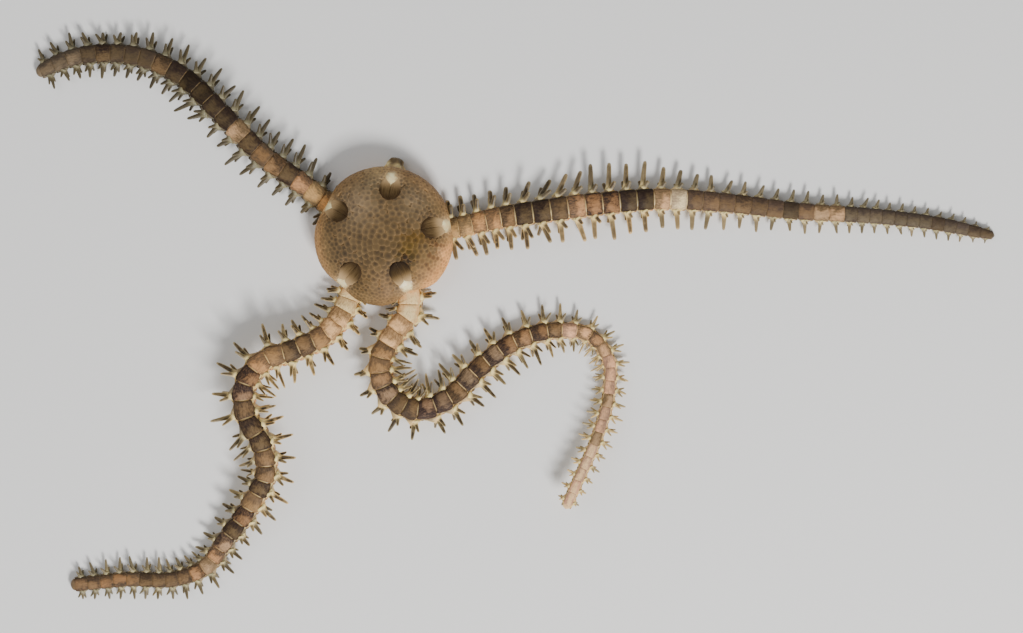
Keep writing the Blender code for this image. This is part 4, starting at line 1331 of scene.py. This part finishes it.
def disc_skin(finish):
    """The disc's skin: its outline carried round it, let in by the scales' thickness, and the
    hollow of the mouth inside, by shares of the mouth's radius and heights."""
    bearing = np.arange(SKIN_AROUND) * 2 * math.pi / SKIN_AROUND
    run = np.linspace(SKIN_BEGINS, 1, SKIN_ROWS)
    grid_bearing, grid_run = stretch_rows(bearing, SKIN_ROWS), stretch(run, SKIN_AROUND)
    skin = disc_point(grid_bearing, grid_run)
    skin = skin - disc_axes(grid_bearing, grid_run)[2] * 0.6 * SCALE_THICKNESS
    shares, heights = np.array(MOUTH_WALL).T[:, :, None]
    x, y = turned(shares * MOUTH_RADIUS, 0, bearing)
    wall = np.stack([x, y, np.broadcast_to(heights, x.shape)], -1)
    points = np.concatenate([skin, wall])
    ends = np.array([[0, 0, points[0, :, 2].mean()], [0, 0, MOUTH_ROOF]])
    quads, fans = ball_faces(len(points), SKIN_AROUND)
    points = np.concatenate([points.reshape(-1, 3), ends])
    return piece("disc_skin", points, quads[:, ::-1], fans[:, ::-1], finish, None,
                 {"ground": disc_paint(points)})


def under_arm(x, y, arms, room):
    """Whether a place lies over one of the arms' roots."""
    over = np.zeros(len(x), bool)
    for arm in arms:
        near = from_spots(x, y, arm.points[::20, :2]).min(1)
        over |= near < arm.width(0.0) / 2 + room
    return over


def spread_out(run, bearing, pitch):
    """Pushes places on the disc off their near neighbours, so that they lie evenly but in no
    pattern: each is moved away from every other closer than its pitch, by SPREAD_PUSH times what
    is lacking, SPREAD_ROUNDS times."""
    for _ in range(SPREAD_ROUNDS):
        centre = disc_point(bearing, run)
        out, round_, _ = disc_axes(bearing, run)
        apart = centre[:, None] - centre[None]
        gap = np.linalg.norm(apart, axis=-1) + 1e-9
        lacking = np.clip(pitch[:, None] - gap, 0, None) / gap * (gap > 1e-6)
        push = SPREAD_PUSH * (lacking[..., None] * apart).sum(1)
        radius = np.interp(run, OUTLINE, SHARES) * DISC_RADIUS
        run = np.clip(run + (push * out).sum(-1) / OUTLINE_LENGTH, 0.008, 0.995)
        bearing = bearing + (push * round_).sum(-1) / np.maximum(radius, 0.3)
    return run, bearing


def scale_places(arms, draw):
    """Bearings, runs and pitches of the disc's scales. They start on a spiral by the golden angle,
    as many to each ring as its length has room for, and are shaken and then spread out. They are
    left out where shields and knobs lie on the back, by ovals, and where the arms and the mouth
    lie under the belly."""
    fine = np.linspace(0, 1, 2000)
    ring = np.interp(fine, OUTLINE, SHARES) * DISC_RADIUS * 2 * math.pi * OUTLINE_LENGTH
    wanted = ring / (SCALE_ROOM * read(SCALE_PITCHES, fine) ** 2)
    counted = np.r_[0, np.cumsum((wanted[1:] + wanted[:-1]) / 2 * np.diff(fine))]
    count = int(counted[-1])
    number = np.arange(count)
    run = np.interp(number + 0.5, counted, fine)
    bearing = number * math.pi * (3 - math.sqrt(5))
    pitch = read(SCALE_PITCHES, run) * draw.uniform(0.85, 1.15, count)
    radius = np.interp(run, OUTLINE, SHARES) * DISC_RADIUS
    run = np.clip(run + draw.normal(0, SCALE_SHAKE, count) * pitch / OUTLINE_LENGTH, 0.01, 0.99)
    bearing = bearing + draw.normal(0, SCALE_SHAKE, count) * pitch / np.maximum(radius, 0.5)
    run, bearing = spread_out(run, bearing, pitch)
    x, y, z = disc_point(bearing, run).T
    keep = np.ones(count, bool)
    for arm, shield, knob in zip(BEARINGS, SHIELDS, KNOBS):
        ahead, aside = turned(x, y, -arm)
        on_pair = ((ahead - shield + 0.2) / 1.32) ** 2 + (aside / 1.05) ** 2 < 1
        on_knob = ((ahead - knob) / 0.6) ** 2 + (aside / 0.5) ** 2 < 1
        keep &= ~((on_pair | on_knob) & (z > DISC_EQUATOR))
    at_mouth = np.hypot(x, y) < MOUTH_RADIUS + 0.25
    keep &= ~((z < DISC_EQUATOR - 0.9) & (under_arm(x, y, arms, 0.15) | at_mouth))
    return bearing[keep], run[keep], pitch[keep]


SCALE_RINGS = ((0.6, 0.95), (0.9, 0.6), (1.0, 0.0), (0.85, -1.0))


def disc_scales(arms, finish, draw):
    """The disc's scales: round pillows, laid like tiles with the outer edge raised, in even
    disorder, smaller towards the edge, below and by the shields."""
    shape = Pillow(10, 2.3, SCALE_RINGS)
    a, b, c = shape.a, shape.b, shape.c
    bearing, run, pitch = scale_places(arms, draw)
    count = len(run)
    centre = disc_point(bearing, run)
    out, round_, off = disc_axes(bearing, run)
    from_pit = from_spots(centre[:, 0], centre[:, 1], SHIELD_SPOTS).min(1)
    size = pitch * 0.67 * (1 - 0.22 * bell(from_pit, 1.7))
    spin = draw.normal(0, 0.3, count)
    along = out * np.cos(spin)[:, None] + round_ * np.sin(spin)[:, None]
    aside = np.cross(off, along)
    length, breadth = size[:, None] * 0.96 * b, size[:, None] * 1.06 * a
    rise = SCALE_THICKNESS * (np.where(c > 0, 0.42 * c, 0.9 * c) + 0.09 * b)
    points = (centre[:, None] + along[:, None] * length[..., None]
              + aside[:, None] * breadth[..., None] + off[:, None] * rise[:, None])
    paint = disc_paint(centre) * draw.uniform(0.86, 1.12, (count, 1))
    flat = disc_flat(bearing, run)[:, None] + SMALL_PATCH * np.stack([a, b], -1)
    quads, fans = shape.faces(count)
    return piece("disc_scales", points, quads, fans, finish,
                 {"within": shape.notes(draw.random(count))},
                 {"ground": np.repeat(paint, shape.size, 0)}, flat)


SHIELD_SQUARENESS = 2.2
SHIELD_LENGTH = 1.5
SHIELD_WIDTH = 0.74
SHIELD_RISE = 0.11
SHIELD_RINGS = (
    (0.3, 1.0), (0.55, 0.96), (0.75, 0.86), (0.9, 0.62), (0.97, 0.35), (1.0, 0.0), (0.95, -1.0),
)
STAINED_SHIELDS = "curled"
SHIELD_STAIN = np.array((0.4, 0.34, 0.17))


def shields(finish, draw):
    """The pairs of radial shields: pillows laid on the back, pushed over by their half width so
    that they meet along a straight line, wide at the near end and narrow at the far end. One pair
    is stained at its near end."""
    shape = Pillow(28, SHIELD_SQUARENESS, SHIELD_RINGS)
    a, b, c = shape.a, shape.b, shape.c
    edge = np.clip(1 - np.abs(b) ** SHIELD_SQUARENESS, 0, 1) ** (1 / SHIELD_SQUARENESS)
    narrow = (1 - 0.42 * (b + 1) / 2) * (1 - 0.25 * np.clip(-b, 0, 1) ** 2)
    top = np.where(a < 0, 1 - 0.3 * (1 - c), c)
    stained = 1 + np.clip(0.6 - b, 0, 1)[:, None] * (SHIELD_STAIN - 1)
    points, stains = [], []
    for name, arm, middle in zip(ARMS, BEARINGS, SHIELDS):
        for side in (1, -1):
            aside = side * (0.015 + SHIELD_WIDTH * (a + edge) * narrow)
            point = back_point(*turned(middle - 0.15 + SHIELD_LENGTH * b, aside, arm))
            point[:, 2] += np.where(c < 0, c * 0.25, top * SHIELD_RISE) - 0.015
            points.append(point)
            stains.append(stained if name == STAINED_SHIELDS else np.ones_like(stained))
    quads, fans = shape.faces(len(points))
    return piece("radial_shields", np.array(points), quads, fans, finish,
                 {"within": shape.notes(draw.random(len(points)))}, {"stain": np.array(stains)})


KNOB_RINGS = ((0.3, 0.95), (0.55, 0.82), (0.78, 0.6), (0.93, 0.32), (1.0, 0.0), (0.95, -1.0))


def knobs(finish, draw):
    """The white knob at the far end of each pair of shields: a smooth round pillow, a little
    narrower and higher at its far end."""
    shape = Pillow(24, 2.0, KNOB_RINGS)
    a, b, c = shape.a, shape.b, shape.c
    points = []
    for arm, middle in zip(BEARINGS, KNOBS):
        point = back_point(*turned(middle + 0.92 * b, (0.82 - 0.1 * b) * a, arm))
        point[:, 2] += np.where(c > 0, c * 0.13, c * 0.4) + 0.03 * b
        points.append(point)
    quads, fans = shape.faces(len(points))
    return piece("shield_knobs", np.array(points), quads, fans, finish,
                 {"within": shape.notes(draw.random(len(points)))})


# The plates of the mouth, at each of five bearings between the arms: distance from the middle,
# place aside, half length, half width, turn, drop below the belly, and depth. Side plates, half
# jaws and pegs are made again on the other side, with place aside and turn reversed.
ORAL_SHIELD = (4.15, 0.0, 0.85, 0.8, 0.0, 0.28, 0.9)
SIDE_PLATE = (3.2, 0.75, 0.42, 0.68, 0.5, 0.4, 0.8)
HALF_JAW = (1.95, 0.36, 1.12, 0.34, -0.2, 0.42, 1.0)
PEGS = tuple((0.95 + 0.5 * peg, 0.42 + 0.14 * peg, 0.2, 0.13, 1.0, 0.5, 0.6) for peg in range(4))
TOOTH = (0.72, 0.0, 0.26, 0.2, 0.0, 0.5, 0.9)
MOUTH_RINGS = ((0.45, 0.97), (0.75, 0.86), (0.93, 0.55), (1.0, 0.0), (0.92, -1.0))
MOUTH_CREAM = (196, 176, 142)
MOUTH_CLOUD = (150, 124, 92)


def between_arms(step):
    """The bearing at a step round the disc: whole numbers are arms, halves lie between them."""
    arms = np.r_[BEARINGS, BEARINGS[0] + 2 * math.pi]
    return np.interp(step % 5, np.arange(6), arms)


def mouth_plates(finish, draw):
    """Oral shields, the plates beside them, and five pairs of half jaws: pillows under the belly,
    turned by their angle and laid out by distance and bearing, with a row of pegs on each jaw's
    edge and a tooth at its tip."""
    shape = Pillow(20, 2.6, MOUTH_RINGS)
    a, b, c = shape.a[None], shape.b[None], shape.c[None]
    mirrored = np.array((1, -1, 1, 1, -1, 1, 1))
    paired = np.array((SIDE_PLATE, HALF_JAW, *PEGS))
    one = np.concatenate([[ORAL_SHIELD], paired, paired * mirrored, [TOOTH]])
    rows = np.tile(one, (5, 1))
    count = len(rows)
    bearing = between_arms(np.repeat(np.arange(5), len(one)) + 0.5)[:, None]
    middle, off, long_, wide, spin, drop, deep = rows.T[:, :, None]
    ahead, aside = turned(long_ * b, wide * a, spin)
    x, y = turned(middle + ahead, off + aside, bearing)
    z = DISC_BELLY + 0.02 - np.where(c > 0, c * np.minimum(drop, 0.44), c * deep)
    quads, fans = shape.faces(count)
    paint = linear(MOUTH_CREAM) * draw.uniform(0.85, 1.1, (count, 1))
    cloud = np.tile(linear(MOUTH_CLOUD), (count * shape.size, 1))
    return piece("mouth_plates", np.stack([x, y, z], -1), quads[:, ::-1], fans[:, ::-1], finish,
                 {"within": shape.notes(draw.random(count))},
                 {"ground": np.repeat(paint, shape.size, 0), "patch": cloud})


# The studio: places and sizes in metres, powers in watts.

FLOOR_HALF = 1.5
FLOOR_LOOK = (0.82, 0.81, 0.79)
KEY_LIGHT = ((0.13, -0.29, 0.31), 0.12, 2.8)
FILL_LIGHT = ((-0.3, 0.1, 0.4), 0.4, 0.8)
SKY_LOOK = (0.95, 0.97, 1.0, 1)
SKY_STRENGTH = 0.3


def lamp(name, place, size, power):
    """A square soft light at a place, which points at the frame's middle."""
    data = bpy.data.lights.new(name, "AREA")
    data.size = size
    data.energy = power
    thing = stand(name, data)
    thing.location = place
    x, y, z = place
    thing.rotation_euler = (math.atan2(math.hypot(x, y), z), 0, math.atan2(-y, -x) - QUARTER)


def studio():
    """A pale floor, one soft light from below in the picture, a weak fill, and the camera straight
    above, at the distance where the photograph's scale holds: the photograph's real width times
    the lens over the sensor."""
    mesh = bpy.data.meshes.new("floor")
    signs = ((-1, -1), (1, -1), (1, 1), (-1, 1))
    corners = [(x * FLOOR_HALF, y * FLOOR_HALF, 0) for x, y in signs]
    mesh.from_pydata(corners, [], [(0, 1, 2, 3)])
    mesh.materials.append(Finish("pale_floor", 0.85).done(FLOOR_LOOK))
    floor = stand("floor", mesh)
    lamp("key", *KEY_LIGHT)
    lamp("fill", *FILL_LIGHT)
    world = bpy.data.worlds.new("studio")
    world.use_nodes = True
    sky = world.node_tree.nodes["Background"].inputs
    sky["Color"].default_value = SKY_LOOK
    sky["Strength"].default_value = SKY_STRENGTH
    bpy.context.scene.world = world
    data = bpy.data.cameras.new("camera")
    data.lens = LENS
    data.sensor_width = SENSOR
    data.clip_start = 0.005
    camera = stand("camera", data)
    middle = (np.array(PHOTO_SIZE) / 2 - DISC_PIXEL) * (MM_PER_PIXEL, -MM_PER_PIXEL)
    back = PHOTO_SIZE[0] * MM_PER_PIXEL * LENS / SENSOR
    camera.location = (*((middle + DISC_CENTRE[:2]) * MM), (back + SHARP_HEIGHT) * MM)
    bpy.context.scene.camera = camera


def dress():
    """Makes every piece and attaches it to the root."""
    draw = np.random.default_rng(SEED)
    arms = [Arm(name) for name in ARMS]
    whole = [arm for arm in arms if arm.shape["joints"]]
    flesh = flesh_finish()
    made = []
    for arm in arms:
        thing = arm_flesh(arm, flesh)
        if ARM_NODES[arm.name]:
            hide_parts(*ARM_NODES[arm.name])
        made.append((thing, "arm_plates"))
    skin = disc_skin(disc_skin_finish())
    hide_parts("disc")
    made.append((skin, "disc_skin"))
    made.append((disc_scales(arms, scale_finish(), draw), "disc_skin"))
    made.append((shields(shield_finish(), draw), "disc_skin"))
    made.append((knobs(knob_finish(), draw), "disc_skin"))
    flank = flank_finish()
    mouth = mouth_plates(flank, draw)
    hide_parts("mouth_frame")
    made.append((mouth, "jaw_plates"))
    made.append((back_plates(whole, plate_finish(), draw), "arm_plates"))
    made.append((flank_plates(arms, flank, draw), "arm_plates"))
    made.append((pore_scales(whole, flank, draw), "arm_plates"))
    made.append((spines(whole, spine_finish(), draw), "arm_spines"))
    for thing, slot in made:
        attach(thing, "root")


dress()
studio()
